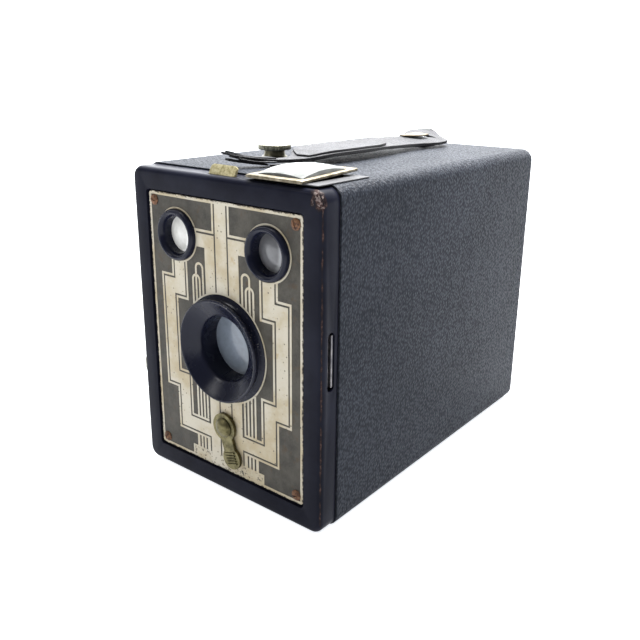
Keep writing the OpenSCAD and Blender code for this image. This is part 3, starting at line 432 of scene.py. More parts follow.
def make_cream():
    """Old cream lacquer: yellowed, pitted, and chipped along the border."""
    f = Finish("plate_cream", (0.78, 0.72, 0.58), 0.38, IOR=1.48)
    f.shader.inputs["Specular IOR Level"].default_value = 0.3
    cloud = f.noise(11 * MM, 4, 0.6)
    base = f.mix(f.ramp(cloud, 0.36, 0.66), (0.48, 0.44, 0.35), (0.38, 0.315, 0.20))
    warm = f.ramp(f.noise(3.4 * MM, 4, 0.62), 0.62, 0.74)
    base = f.mix(f.both(warm, 0.55), base, (0.34, 0.235, 0.10))
    grime = f.ramp(f.noise(0.8 * MM, 5, 0.7), 0.56, 0.80)
    base = f.mix(f.both(grime, 0.5), base, (0.27, 0.23, 0.16))
    patchy = f.ramp(f.noise(9 * MM, 2), 0.40, 0.60, 0.35, 1.0)
    pits = f.both(f.ramp(f.cells(1.7 * MM), 0.10, 0.18, 1.0, 0.0), patchy)
    fine_pits = f.both(f.ramp(f.cells(0.85 * MM), 0.05, 0.12, 1.0, 0.0), f.ramp(f.noise(5 * MM, 3), 0.50, 0.62))
    border = f.ramp(plate_edge(f), -0.85 * MM, -0.05 * MM)
    chips = f.ramp(f.math("ADD", f.both(border, 0.36), f.noise(0.9 * MM, 5, 0.7)), 0.80, 0.86)
    low = f.both(f.ramp(f.z, plate_low.z + 5.2 * MM, plate_low.z + 3.0 * MM, 0.0, 1.0),
                 f.ramp(f.math("ABSOLUTE", f.x), 15.5 * MM, 15.0 * MM, 0.0, 1.0))
    scabs = f.both(low, f.ramp(f.noise(1.05 * MM, 5, 0.75), 0.55, 0.60))
    holes = f.either(f.either(pits, fine_pits), f.either(chips, scabs))
    f.colour(f.mix(f.both(holes, 0.93), base, (0.035, 0.030, 0.026)))
    f.rough(f.ramp(holes, 0.0, 1.0, 0.36, 0.7))
    f.bump(f.math("SUBTRACT", f.both(f.noise(0.5 * MM, 4), 0.35), holes), 0.07 * MM, 0.7)
    return f.material


def make_dark_field():
    """Olive-grey etched ground, mottled by age."""
    f = Finish("plate_dark", (0.10, 0.10, 0.09), 0.46, IOR=1.45)
    f.shader.inputs["Specular IOR Level"].default_value = 0.15
    cloud = f.noise(7 * MM, 5, 0.65)
    base = f.mix(f.ramp(cloud, 0.34, 0.68), (0.038, 0.035, 0.029), (0.074, 0.068, 0.056))
    fine = f.ramp(f.noise(0.45 * MM, 4, 0.7), 0.35, 0.75)
    base = f.mix(f.both(fine, 0.35), base, (0.088, 0.082, 0.071))
    spots = f.ramp(f.cells(2.4 * MM), 0.03, 0.12, 1.0, 0.0)
    rusty = f.ramp(f.noise(2.6 * MM, 4), 0.56, 0.72)
    base = f.mix(f.both(rusty, 0.5), base, (0.070, 0.045, 0.026))
    f.colour(f.mix(f.both(spots, 0.6), base, (0.04, 0.035, 0.03)))
    f.rough(f.ramp(cloud, 0.3, 0.7, 0.42, 0.55))
    f.bump(fine, 0.02 * MM, 0.6)
    return f.material


def make_metal(name, dark, light, roughness=0.35, patina=0.4, grime=(0.05, 0.045, 0.03), size=2.4):
    """Old plated or brass metal with tarnish in clouds and fine scratches."""
    f = Finish(name, light, roughness, 1.0)
    cloud = f.noise(size * MM, 5, 0.65)
    base = f.mix(f.ramp(cloud, 0.34, 0.68), light, dark)
    speck = f.ramp(f.noise(0.42 * MM, 4, 0.75), 0.55, 0.70)
    f.colour(f.mix(f.both(speck, patina), base, grime))
    f.metal(f.ramp(speck, 0.0, 1.0, 1.0, 1.0 - patina))
    lines = f.noise(0.35 * MM, 2, at=f.turned_place(turn=(0, 0, 28), scale=(0.06, 1, 1)))
    f.rough(f.ramp(f.math("ADD", f.both(cloud, 0.6), f.both(lines, 0.4)), 0.3, 0.7, roughness - 0.08, roughness + 0.14))
    f.bump(f.math("ADD", f.both(lines, 0.5), speck), 0.02 * MM, 0.5)
    return f.material


def make_knob():
    """Olive plated knob, paler on its knurled cap and palest on its flat top."""
    f = Finish("knob_metal", (0.16, 0.15, 0.09), 0.4, 1.0)
    cloud = f.noise(1.6 * MM, 4, 0.65)
    neck = f.mix(f.ramp(cloud, 0.35, 0.68), (0.13, 0.12, 0.075), (0.24, 0.225, 0.16))
    knurl = f.mix(f.ramp(cloud, 0.35, 0.68), (0.24, 0.23, 0.165), (0.46, 0.45, 0.36))
    side = f.mix(f.ramp(f.z, knob_high.z - 2.3 * MM, knob_high.z - 1.9 * MM), neck, knurl)
    face = f.mix(f.ramp(cloud, 0.35, 0.68), (0.44, 0.43, 0.36), (0.62, 0.61, 0.54))
    f.colour(f.mix(f.ramp(f.z, knob_high.z - 0.5 * MM, knob_high.z - 0.15 * MM), side, face))
    f.rough(f.ramp(cloud, 0.3, 0.7, 0.30, 0.48))
    f.bump(f.noise(0.4 * MM, 3), 0.02 * MM, 0.5)
    return f.material


def make_rust():
    f = Finish("rusty_screw", (0.10, 0.05, 0.03), 0.7, 0.35)
    cloud = f.noise(0.7 * MM, 5, 0.7)
    f.colour(f.mix(f.ramp(cloud, 0.38, 0.62), (0.045, 0.022, 0.014), (0.20, 0.095, 0.045)))
    f.bump(cloud, 0.12 * MM, 0.8)
    return f.material


def make_blackened(name="blackened_steel", colour=(0.018, 0.018, 0.020)):
    f = Finish(name, colour, 0.55, 0.2)
    cloud = f.noise(6 * MM, 4, 0.6)
    lighter = tuple(c * 2.2 + 0.01 for c in colour)
    f.colour(f.mix(f.ramp(cloud, 0.4, 0.75), colour, lighter))
    f.rough(f.ramp(f.noise(1.5 * MM, 4), 0.3, 0.7, 0.45, 0.68))
    f.bump(f.noise(0.5 * MM, 3), 0.02 * MM, 0.5)
    return f.material


def make_glass(name, colour, haze, roughness=0.05, **sockets):
    """Old glass: clear, with a haze of dust and grease."""
    f = Finish(name, colour, roughness, IOR=1.52, **sockets)
    f.shader.inputs["Transmission Weight"].default_value = 1.0 - haze
    cloud = f.noise(5 * MM, 4, 0.6)
    f.colour(f.mix(f.ramp(cloud, 0.3, 0.75), colour, tuple(c * 0.82 for c in colour)))
    f.rough(f.ramp(f.noise(2 * MM, 4), 0.35, 0.75, roughness, roughness + 0.1))
    return f.material


def finder_centre(sign):
    """One finder window's centre seen along Y, as (x, z): -1 is the left one, 1 the right one."""
    low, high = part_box("bezels")
    outer = (high.z - low.z) / 2
    return (high.x - outer if sign > 0 else low.x + outer), (low.z + high.z) / 2


def make_painted_reflection_lens(name, centre, radius, inner, outer, painted_glow=0.0):
    """A lens with painted reflected light: a dim painted oval in the middle and a paler painted crescent of reflection
    on its right; given a glow strength, the painted pattern also shines as emission though the lens is no lamp.
    """
    f = Finish(name, inner, 0.12, IOR=1.5)
    across = f.math("DIVIDE", f.math("SUBTRACT", f.x, centre[0] - 0.16 * radius), 0.80 * radius)
    up = f.math("DIVIDE", f.math("SUBTRACT", f.z, centre[1]), 1.12 * radius)
    away = f.math("SQRT", f.math("ADD", f.math("POWER", across, 2.0), f.math("POWER", up, 2.0)))
    cloud = f.noise(3 * MM, 4, 0.6)
    edge = f.math("ADD", away, f.both(f.math("SUBTRACT", cloud, 0.5), 0.12))
    rightward = f.ramp(f.math("DIVIDE", f.math("SUBTRACT", f.x, centre[0]), radius), -0.9, 0.35)
    # Painted reflection: a pale crescent of reflected light towards the right of the lens.
    painted_reflection_crescent = f.both(f.ramp(edge, 0.62, 0.86), rightward)
    shade = f.mix(f.ramp(cloud, 0.3, 0.75), inner, tuple(c * 1.25 for c in inner))
    painted_reflection_tone = f.mix(painted_reflection_crescent, shade, outer)
    f.colour(painted_reflection_tone)
    f.rough(f.ramp(cloud, 0.35, 0.75, 0.08, 0.2))
    # Painted glow: the lens pattern is given emission, though the lens is no lamp.
    if painted_glow:
        f.feed(f.shader.inputs["Emission Color"], painted_reflection_tone)
        f.shader.inputs["Emission Strength"].default_value = painted_glow
    return f.material


def make_screen(name, node):
    """A finder's top glass with a painted highlight: a pale painted patch of reflected light in the middle, grey
    towards the frame.
    """
    f = Finish(name, (0.5, 0.5, 0.5), 0.16, IOR=1.45)
    f.shader.inputs["Specular IOR Level"].default_value = 0.05
    low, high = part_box(node)
    span = [(high[i] - low[i]) / 2 for i in range(3)]
    reach = f.math("ADD", 0.0, 0.0)
    for value, i in ((f.x, 0), (f.y, 1), (f.z, 2)):
        if span[i] > 4 * MM:
            share = f.math("DIVIDE", f.math("SUBTRACT", value, (low[i] + high[i]) / 2), span[i])
            reach = f.math("ADD", reach, f.math("POWER", share, 2.0))
    cloud = f.noise(5 * MM, 4, 0.6)
    away = f.math("ADD", f.math("SQRT", reach), f.both(f.math("SUBTRACT", cloud, 0.5), 0.22))
    rim = f.mix(f.ramp(cloud, 0.3, 0.7), (0.13, 0.135, 0.13), (0.20, 0.205, 0.20))
    # Painted highlight: the middle of the glass is coloured pale as if lit, fading to grey towards the frame.
    f.colour(f.mix(f.ramp(away, 0.45, 0.80), (0.60, 0.63, 0.65), rim))
    f.rough(f.ramp(cloud, 0.35, 0.75, 0.22, 0.36))
    return f.material


def make_mirror():
    f = Finish("mirror", (0.8, 0.8, 0.79), 0.06, 1.0)
    stain = f.ramp(f.noise(3 * MM, 5, 0.7), 0.6, 0.8)
    f.colour(f.mix(f.both(stain, 0.5), (0.8, 0.8, 0.79), (0.35, 0.32, 0.26)))
    f.rough(f.ramp(stain, 0.0, 1.0, 0.05, 0.35))
    return f.material


def make_strap_leather(name, top_colour, upward_grey_share):
    """Black leather, grey in patches on its upward faces, cracked across."""
    f = Finish(name, (0.02, 0.02, 0.022), 0.6, IOR=1.45)
    cracks = f.cells(0.9 * MM, "DISTANCE_TO_EDGE", at=f.turned_place(turn=(0, 0, 12), scale=(0.8, 1.5, 1)))
    fine = f.noise(0.4 * MM, 5, 0.7)
    facing = f.nodes.new("ShaderNodeNewGeometry")
    apart = f.nodes.new("ShaderNodeSeparateXYZ")
    f.links.new(facing.outputs["Normal"], apart.inputs[0])
    # Faces turned upward go grey in patches of noise.
    upward = f.ramp(apart.outputs[2], 0.25, 0.8)
    rubbed = f.both(upward, f.ramp(f.noise(3.5 * MM, 5, 0.65), 0.30, 0.62))
    base = f.mix(f.ramp(fine, 0.35, 0.7), (0.012, 0.012, 0.014), (0.035, 0.034, 0.036))
    base = f.mix(f.both(rubbed, upward_grey_share), base, top_colour)
    f.colour(f.mix(f.ramp(cracks, 0.0, 0.07, 0.75, 0.0), base, (0.008, 0.008, 0.009)))
    f.rough(f.ramp(fine, 0.3, 0.7, 0.5, 0.7))
    f.bump(f.math("ADD", f.ramp(cracks, 0.0, 0.22), f.both(fine, 0.5)), 0.14 * MM, 0.8)
    return f.material


LEATHERETTE = make_leatherette()
PANEL = make_enamel()
ENAMEL = make_enamel("enamel_plain", edges=False)
HOOD_GLOSS = make_gloss("hood_gloss", HOOD_R - 1.3 * MM, 0.0, LENS_Z, 1.0)
BEZEL_GLOSS = make_gloss("bezel_gloss", 1.0, 0.0, 0.0, 0.0)
# The front glass and both finder lenses get painted reflections; the left finder lens also has a painted glow.
FRONT_GLASS_PAINTED_REFLECTION = make_painted_reflection_lens("front_glass_painted_reflection", (0, LENS_Z), 11 * MM, (0.155, 0.18, 0.215), (0.22, 0.245, 0.285))
FINDER_LEFT_PAINTED_GLOW = make_painted_reflection_lens("finder_left_painted_glow", finder_centre(-1), 6.6 * MM, (0.40, 0.40, 0.38), (1.0, 1.0, 1.0), 0.5)
FINDER_RIGHT_PAINTED_REFLECTION = make_painted_reflection_lens("finder_right_painted_reflection", finder_centre(1), 6.6 * MM, (0.10, 0.10, 0.105), (0.34, 0.34, 0.35))
CATCH_METAL = make_metal("catch_metal", (0.10, 0.10, 0.11), (0.24, 0.23, 0.23), 0.35, 0.3)
CLIP_METAL = make_metal("clip_metal", (0.13, 0.105, 0.075), (0.24, 0.205, 0.155), 0.6, 0.3)
CREAM = make_cream()
DARK_FIELD = make_dark_field()
NICKEL = make_metal("old_nickel", (0.095, 0.080, 0.052), (0.25, 0.22, 0.165), 0.5, 0.45)
BRIGHT = make_metal("bright_steel", (0.38, 0.37, 0.35), (0.62, 0.61, 0.59), 0.28, 0.15)
BRASS = make_metal("patina_brass", (0.060, 0.052, 0.024), (0.155, 0.138, 0.070), 0.36, 0.3, (0.03, 0.025, 0.012))
TAB_METAL = make_metal("tab_metal", (0.21, 0.18, 0.085), (0.42, 0.38, 0.235), 0.45, 0.55, (0.10, 0.075, 0.025), 1.2)
KNOB_METAL = make_knob()
RUST = make_rust()
BLACKENED = make_blackened()
SPOOL_PAINT = make_blackened("spool_paint", (0.16, 0.02, 0.015))
GLASS = make_glass("clear_glass", (0.86, 0.89, 0.9), 0.06)
RUBY = make_glass("ruby_glass", (0.45, 0.02, 0.015), 0.25)
MIRROR = make_mirror()
STRAP_TOP = make_strap_leather("strap_leather", (0.062, 0.062, 0.070), 0.75)
STRAP_UNDER = make_strap_leather("strap_torn", (0.05, 0.05, 0.055), 0.4)

SLOT_FINISH = {
    "leatherette": LEATHERETTE, "enamel_black": ENAMEL, "plate_cream": CREAM, "plate_dark": DARK_FIELD,
    "steel": BRIGHT, "blackened_steel": BLACKENED, "nickel": NICKEL, "brass": BRASS,
    "rusty_screw": RUST, "glass": GLASS, "ruby_glass": RUBY, "mirror": MIRROR,
    "strap_leather": STRAP_TOP, "spool_paint": SPOOL_PAINT,
}


def finish_nodes():
    """Every CAD node gets the finish of its slot."""
    for part in frame["record"]["subparts"]:
        node = NODES[part["node"]]
        node.data.materials.clear()
        node.data.materials.append(SLOT_FINISH[part["material_slot"]])


finish_nodes()


# ---- body and panel -----------------------------------------------------------------

def joined(first, second):
    """Two touching copies become one shell, the walls between them taken out."""
    deselect()
    first.select_set(True)
    second.select_set(True)
    bpy.context.view_layer.objects.active = first
    bpy.ops.object.join()
    edit(first, "FACE")
    bpy.ops.mesh.select_all(action="SELECT")
    bpy.ops.mesh.remove_doubles(threshold=0.000004)
    bpy.ops.mesh.select_all(action="DESELECT")
    bpy.ops.mesh.select_interior_faces()
    bpy.ops.mesh.delete(type="FACE")
    bpy.ops.mesh.select_all(action="SELECT")
    bpy.ops.mesh.dissolve_limited(angle_limit=math.radians(0.4))
    return done(first)


def make_shells():
    cover = joined(copied("leatherette"), copied("leatherette_floor"))
    settle(cover, "leatherette_cover")
    finish_with(cover, "BEVEL", width=0.22 * MM, segments=3, limit_method="ANGLE",
                angle_limit=math.radians(40), use_clamp_overlap=True)
    smooth(cover, 35)
    place_on(cover, "root", "leatherette", LEATHERETTE, "leatherette", "leatherette_floor")
    panel = softened("front_panel", 0.18 * MM, 3)
    place_on(panel, "front", "enamel_black", PANEL, "front_panel")


def make_lens_front():
    """Hood, its flat glass, and the two finder bezels with their lenses."""
    mouth = (glass_high.x - glass_low.x) / 2 - 0.4 * MM
    proud = PLATE - hood_low.y
    rim = HOOD_R - 0.9 * MM
    face = PLATE - proud
    tube = mouth + 1.4 * MM
    glass_y = glass_low.y
    hood = turned("hood_finish", (0, LENS_Z), [
        (mouth, glass_y - 0.02 * MM), (mouth, PLATE + 0.5 * MM), (mouth + 0.12 * MM, PLATE - 0.05 * MM),
        (mouth + 0.45 * MM, PLATE - 0.35 * MM), (mouth + 1.1 * MM, PLATE - 0.75 * MM),
        (rim - 1.5 * MM, face + 0.75 * MM), (rim - 1.05 * MM, face + 0.35 * MM), (rim - 0.75 * MM, face + 0.1 * MM),
        (rim - 0.45 * MM, face), (rim - 0.2 * MM, face + 0.08 * MM), (rim, face + 0.3 * MM),
        (rim + 0.05 * MM, face + 0.7 * MM), (rim - 0.15 * MM, face + 1.05 * MM), (rim - 0.75 * MM, face + 1.4 * MM),
        (rim - 0.9 * MM, face + 1.8 * MM), (rim - 0.85 * MM, PLATE - 0.9 * MM), (rim - 0.45 * MM, PLATE - 0.62 * MM),
        (rim + 0.5 * MM, PLATE - 0.36 * MM), (rim + 0.85 * MM, PLATE - 0.2 * MM), (rim + 0.9 * MM, PLATE),
        (tube, PLATE), (tube, hood_high.y), (tube - 0.5 * MM, hood_high.y), (tube - 0.5 * MM, glass_y - 0.02 * MM),
    ], 128)
    smooth(hood, 42)
    place_on(hood, "front", "enamel_black", HOOD_GLOSS, "lens_hood")
    glass_r = mouth + 0.36 * MM
    pane = turned("front_pane", (0, LENS_Z), [
        (0.0, glass_y), (glass_r * 0.5, glass_y), (glass_r - 0.25 * MM, glass_y), (glass_r, glass_y + 0.2 * MM),
        (glass_r, glass_high.y - 0.2 * MM), (glass_r - 0.2 * MM, glass_high.y), (0.0, glass_high.y)], 96)
    smooth(pane, 30)
    place_on(pane, "front", "glass", FRONT_GLASS_PAINTED_REFLECTION, "front_glass")
    for side, sign in (("left", -1), ("right", 1)):
        low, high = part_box("bezels")
        centre = finder_centre(sign)
        outer = (high.z - low.z) / 2
        bore = outer - 2.3 * MM
        out = low.y
        ring = turned("bezel_finish_" + side, centre, [
            (bore, high.y), (bore, PLATE - 0.15 * MM), (bore + 0.1 * MM, PLATE - 0.5 * MM),
            (bore + 0.35 * MM, out + 0.75 * MM), (bore + 0.7 * MM, out + 0.28 * MM), (bore + 1.1 * MM, out + 0.04 * MM),
            (bore + 1.4 * MM, out), (outer - 0.55 * MM, out + 0.16 * MM), (outer - 0.25 * MM, out + 0.45 * MM),
            (outer - 0.06 * MM, out + 0.9 * MM), (outer, out + 1.3 * MM), (outer, PLATE),
            (bore + 0.8 * MM, PLATE), (bore + 0.8 * MM, high.y)], 112)
        smooth(ring, 40)
        place_on(ring, "front", "enamel_black", BEZEL_GLOSS, "bezels")
        lens_low, lens_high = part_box("finder_lenses")
        rim_y = lens_high.y - 0.6 * MM
        front_y = lens_low.y
        r = bore - 0.06 * MM
        steps = [r * math.sin(t * math.pi / 20) for t in range(0, 11)]
        bulge = [(radius, rim_y - (rim_y - front_y) * (1 - (radius / r) ** 2)) for radius in steps]
        lens = turned("finder_glass_" + side, centre,
                      bulge + [(bore + 0.65 * MM, rim_y), (bore + 0.65 * MM, lens_high.y), (0.0, lens_high.y)], 80)
        smooth(lens, 40)
        place_on(lens, "front", "glass", FINDER_LEFT_PAINTED_GLOW if sign < 0 else FINDER_RIGHT_PAINTED_REFLECTION, "finder_lenses")


def make_screens():
    """Nickel frames and crowned glasses of the two finders."""
    for side in ("top", "side"):
        rim = softened(side + "_screen_frame", 0.22 * MM, 3)
        place_on(rim, "front", "nickel", NICKEL, side + "_screen_frame")
        glass = softened(side + "_screen", 0.12 * MM, 2, 24)
        place_on(glass, "front", "glass", make_screen(side + "_screen_painted_highlight", side + "_screen"), side + "_screen")
        cover = softened("finder_box_" + side, 0.04 * MM, 1)
        place_on(cover, "front", "blackened_steel", BLACKENED, "finder_box_" + side)


def make_controls():
    """Knob, tabs, lever and key with their edges softened by handling."""
    for node, body, slot_name, finish, width in (
            ("lock_knob", "lock_screw", "brass", KNOB_METAL, 0.09),
            ("time_tab", "time", "brass", TAB_METAL, 0.16),
            ("selector_rivet", "selector", "brass", BRASS, 0.1),
            ("release_lever", "release", "brass", BRASS, 0.2),
            ("front_catch", "catch", "nickel", CATCH_METAL, 0.1),
            ("winding_key", "key", "nickel", NICKEL, 0.12),
            ("ruby_ring", "root", "enamel_black", BEZEL_GLOSS, 0.08)):
        piece = softened(node, width * MM, 2)
        place_on(piece, body, slot_name, finish, node)


def band(name, stations, thickness, wave=0.0):
    """A leather band; stations of (distance from the panel's face, left edge, right edge, underside, tilt)."""
    deselect()
    rows = [(FRONT + row[0] * MM, row[1] * MM, row[2] * MM, row[3] * MM, row[4] if len(row) > 4 else 0.0)
            for row in stations]
    y, x0, x1, z, tilt = rows[0]
    bpy.ops.mesh.primitive_cube_add(size=1, location=((x0 + x1) / 2, y - 0.05 * MM, z + thickness / 2),
                                    scale=(x1 - x0, 0.1 * MM, thickness))
    piece = bpy.context.object
    settle(piece, name)
    edit(piece)
    faces_where(piece, lambda centre, normal: normal.y > 0.9)
    for next_y, next_x0, next_x1, next_z, next_tilt in rows[1:]:
        bpy.ops.mesh.extrude_region_move()
        share = (next_x1 - next_x0) / (x1 - x0)
        middle_x = (x0 + x1) / 2
        bpy.ops.transform.resize(value=(share, 1, 1), center_override=(middle_x, y, z))
        if next_tilt != tilt:
            bpy.ops.transform.rotate(value=math.radians(next_tilt - tilt), orient_axis="Y",
                                     center_override=(middle_x, y, z))
        bpy.ops.transform.translate(value=((next_x0 + next_x1 - x0 - x1) / 2, next_y - y, next_z - z))
        y, x0, x1, z, tilt = next_y, next_x0, next_x1, next_z, next_tilt
    bpy.ops.mesh.select_all(action="SELECT")
    bpy.ops.mesh.normals_make_consistent(inside=False)
    done(piece)
    finish_with(piece, "BEVEL", width=0.26 * thickness, segments=2, limit_method="ANGLE",
                angle_limit=math.radians(50), use_clamp_overlap=True)
    finish_with(piece, "SUBSURF", levels=2, render_levels=2)
    if wave:
        rough_hide = bpy.data.textures.new(name + "_wave", "CLOUDS")
        rough_hide.noise_scale = 0.009
        finish_with(piece, "DISPLACE", texture=rough_hide, strength=wave, mid_level=0.5, texture_coords="LOCAL")
    smooth(piece, 50)
    return piece


def make_strap():
    """The worn strap: long band, sewn pad on it, torn front end, tongue and clip at the rear."""
    lie = TOP / MM
    lower = band("strap_band", [
        (14.2, -9.4, -5.2, lie + 2.9), (17, -7.6, -3.0, lie + 2.0), (21, -4.4, 0.2, lie + 1.2), (26, -1.2, 3.4, lie + 1.1),
        (31, 0.2, 6.8, lie + 1.2), (35, -2.4, 8.8, lie + 1.7), (39, -6.8, 10.4, lie + 2.3), (46, -8.0, 11.0, lie + 2.4),
        (58, -8.2, 11.4, lie + 2.4), (68, -8.0, 10.8, lie + 2.4), (77, -7.4, 9.4, lie + 2.5, -4),
        (84, -6.0, 8.4, lie + 2.5, -6), (90, -3.0, 7.6, lie + 2.4, -8), (95, -0.8, 7.6, lie + 2.2, -8),
        (99, -1.4, 8.2, lie + 2.2, -9), (103, -4.4, 9.4, lie + 2.4, -11), (107, -6.2, 9.6, lie + 2.6, -13),
        (111, -6.8, 9.6, lie + 2.8, -14), (114.5, -6.3, 8.8, lie + 2.9, -14), (117, -5.0, 7.4, lie + 3.0, -14),
        (118.6, -3.0, 5.4, lie + 3.05, -14), (119.2, -0.9, 3.2, lie + 3.1, -14)],
        1.15 * MM, wave=0.35 * MM)
    deselect()
    bpy.ops.mesh.primitive_cylinder_add(vertices=3, radius=3.6 * MM, depth=12 * MM, rotation=(0, 0, math.pi),
                                        location=(2.0 * MM, FRONT + 110.4 * MM, TOP + 4 * MM))
    cutter = bpy.context.object
    finish_with(lower, "BOOLEAN", operation="DIFFERENCE", object=cutter, solver="EXACT")
    bpy.data.objects.remove(cutter)
    place_on(lower, "root", "strap_leather", STRAP_TOP, "strap")
    upper = band("strap_pad", [
        (33, 1.2, 6.4, lie + 2.4), (36, -2.6, 8.0, lie + 2.8), (39.5, -6.4, 9.4, lie + 3.4), (46, -7.6, 10.3, lie + 3.5),
        (56, -7.8, 10.7, lie + 3.5), (63, -7.8, 10.5, lie + 3.5), (68, -7.0, 10.0, lie + 3.5), (72.5, -5.6, 8.2, lie + 3.5)],
        0.8 * MM, wave=0.4 * MM)
    place_on(upper, "root", "strap_leather", STRAP_TOP)
    for index, (stations, thick) in enumerate((
            ([(10.8, -9.4, -8.2, lie + 4.2), (12.4, -9.7, -6.9, lie + 3.8), (15, -8.6, -4.8, lie + 3.1),
              (19, -5.9, -1.8, lie + 2.3), (24, -2.4, 1.0, lie + 2.1)], 0.7),
            ([(11.2, -8.0, -6.4, lie + 2.4), (13, -8.2, -5.2, lie + 1.9), (16, -6.8, -2.8, lie + 1.2),
              (21, -3.6, 0.4, lie + 0.5)], 0.6),
            ([(10.2, -6.8, -6.0, lie + 4.4), (12, -7.0, -5.3, lie + 3.6), (15, -5.8, -3.6, lie + 2.9),
              (20, -3.4, -0.4, lie + 2.2)], 0.45),
            ([(16.5, -13.4, -12.6, lie + 3.9), (16.8, -11.0, -9.9, lie + 3.6), (17.2, -8.4, -6.6, lie + 3.0),
              (19, -5.6, -3.2, lie + 2.4)], 0.5),
            ([(13.2, -4.4, -3.6, lie + 2.6), (15.4, -4.2, -2.8, lie + 1.9), (18, -3.0, -0.4, lie + 1.4),
              (23, -0.4, 2.6, lie + 1.3)], 0.5))):
        shred = band(f"strap_shred_{index}", stations, thick * MM, wave=0.5 * MM)
        place_on(shred, "root", "strap_leather", STRAP_UNDER)
    wedge = band("strap_clip_tongue", [
        (95.8, -1.6, 0.4, lie + 4.4, -8), (100, -2.2, 3.2, lie + 4.3, -9), (104, -2.4, 4.6, lie + 4.4, -10),
        (107.4, -1.4, 4.4, lie + 4.6, -11)], 0.45 * MM)
    place_on(wedge, "root", "nickel", CLIP_METAL)
    low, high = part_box("strap_clip_rear")
    deselect()
    bpy.ops.mesh.primitive_cube_add(size=1, location=((low.x + high.x) / 2, (low.y + high.y) / 2, low.z + 0.2 * MM),
                                    scale=(5 * MM, 8 * MM, 0.4 * MM))
    stud = settle(bpy.context.object, "strap_stud")
    edit(stud)
    faces_where(stud, lambda centre, normal: normal.z > 0.9)
    bpy.ops.mesh.inset(thickness=1.9 * MM)
    bpy.ops.transform.resize(value=(1, 0.4, 1))
    bpy.ops.mesh.extrude_region_move(TRANSFORM_OT_translate={"value": (0, 0, 3.2 * MM)})
    done(stud)
    finish_with(stud, "BEVEL", width=0.12 * MM, segments=2, limit_method="ANGLE", angle_limit=math.radians(40))
    smooth(stud, 40)
    place_on(stud, "root", "nickel", BLACKENED, "strap_clip_rear")
    clip = softened("strap_clip_front", 0.1 * MM, 2)
    place_on(clip, "root", "nickel", BLACKENED, "strap_clip_front")


make_shells()
make_lens_front()
make_screens()
make_controls()
make_strap()


# ---- stage ---------------------------------------------------------------------------

def make_camera():
    """The camera looks down on the front right corner."""
    data = bpy.data.cameras.new("camera")
    camera = bpy.data.objects.new("camera", data)
    bpy.context.scene.collection.objects.link(camera)
    azimuth, elevation, roll = (math.radians(a) for a in (38.525, 17.384, 0.548))
    back = Vector((math.sin(azimuth) * math.cos(elevation),
                   -math.cos(azimuth) * math.cos(elevation), math.sin(elevation)))
    camera.rotation_mode = "QUATERNION"
    camera.rotation_quaternion = Quaternion(back, roll) @ (-back).to_track_quat("-Z", "Y")
    camera.location = Vector((0.152116, FRONT - 0.143417, 0.131285))
    data.sensor_width = 36.0
    data.lens = 41.386
    data.shift_x = -0.0023
    data.shift_y = -0.0367
    data.clip_start = 0.01
    data.clip_end = 20
    bpy.context.scene.camera = camera


def make_floor():
    deselect()
    bpy.ops.mesh.primitive_plane_add(size=12, location=(0, 0, skin_low.z - 0.02 * MM))
    floor = bpy.context.object
    floor.name = "floor"
    f = Finish("white_paper", (0.93, 0.94, 0.96), 0.85)
    f.colour(f.mix(f.ramp(f.noise(0.2, 3), 0.3, 0.7), (0.93, 0.94, 0.96), (0.95, 0.955, 0.965)))
    f.shader.inputs["Emission Color"].default_value = (0.94, 0.965, 1.0, 1)
    f.shader.inputs["Emission Strength"].default_value = 0.86
    floor.data.materials.append(f.material)


def add_light(name, place, size, power, target=(0, 0, 0.05), colour=(1, 1, 1)):
    data = bpy.data.lights.new(name, "AREA")
    data.shape = "RECTANGLE"
    data.size, data.size_y = size
    data.energy = power
    data.color = colour
    light = bpy.data.objects.new(name, data)
    light.location = place
    light.rotation_mode = "QUATERNION"
    light.rotation_quaternion = (Vector(target) - Vector(place)).to_track_quat("-Z", "Y")
    bpy.context.scene.collection.objects.link(light)
    return light


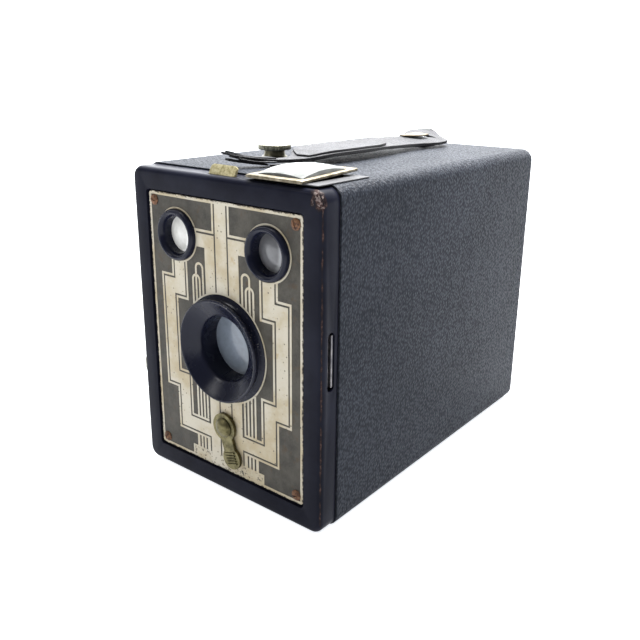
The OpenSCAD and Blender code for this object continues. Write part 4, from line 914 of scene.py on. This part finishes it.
def make_lights():
    """A white room, brighter above and behind, dimmer in front."""
    world = bpy.data.worlds.new("studio")
    world.use_nodes = True
    nodes, links = world.node_tree.nodes, world.node_tree.links
    way = nodes.new("ShaderNodeTexCoord").outputs["Generated"]

    def towards(direction, low, high, out_low, out_high):
        dot = nodes.new("ShaderNodeVectorMath")
        dot.operation = "DOT_PRODUCT"
        links.new(way, dot.inputs[0])
        dot.inputs[1].default_value = Vector(direction).normalized()
        step = nodes.new("ShaderNodeMapRange")
        step.interpolation_type = "SMOOTHSTEP"
        links.new(dot.outputs["Value"], step.inputs["Value"])
        for key, value in (("From Min", low), ("From Max", high), ("To Min", out_low), ("To Max", out_high)):
            step.inputs[key].default_value = value
        return step.outputs[0]

    def combine(operation, a, b):
        node = nodes.new("ShaderNodeMath")
        node.operation = operation
        links.new(a, node.inputs[0])
        links.new(b, node.inputs[1])
        return node.outputs[0]

    behind = towards((-0.55, 0.75, 0.42), 0.25, 0.95, 0.0, 2.7)
    front = towards((0.1, -1, 0.1), -0.15, 0.55, 1.0, 0.24)
    right = towards((1, -0.2, 0), 0.1, 0.9, 1.0, 0.45)
    above = towards((0, 0, 1), -0.1, 1.0, 0.62, 1.85)
    strength = combine("MULTIPLY", combine("MULTIPLY", combine("ADD", above, behind), front), right)
    shade = nodes["Background"]
    shade.inputs["Color"].default_value = (0.965, 0.98, 1.0, 1)
    seen = nodes.new("ShaderNodeLightPath").outputs["Is Camera Ray"]
    links.new(combine("MAXIMUM", strength, seen), shade.inputs["Strength"])
    bpy.context.scene.world = world
    bpy.context.scene.view_settings.view_transform = "Standard"
    overhead = add_light("overhead", (-0.05, 0.25, 0.9), (0.6, 0.6), 39.0)
    flagged = bpy.data.collections.new("flagged_off_floor")
    flagged.objects.link(bpy.data.objects["floor"])
    overhead.light_linking.receiver_collection = flagged
    flagged.collection_objects[0].light_linking.link_state = "EXCLUDE"
    add_light("key", (-0.45, -0.75, 0.55), (0.22, 0.22), 1.5)


make_camera()
make_floor()
make_lights()
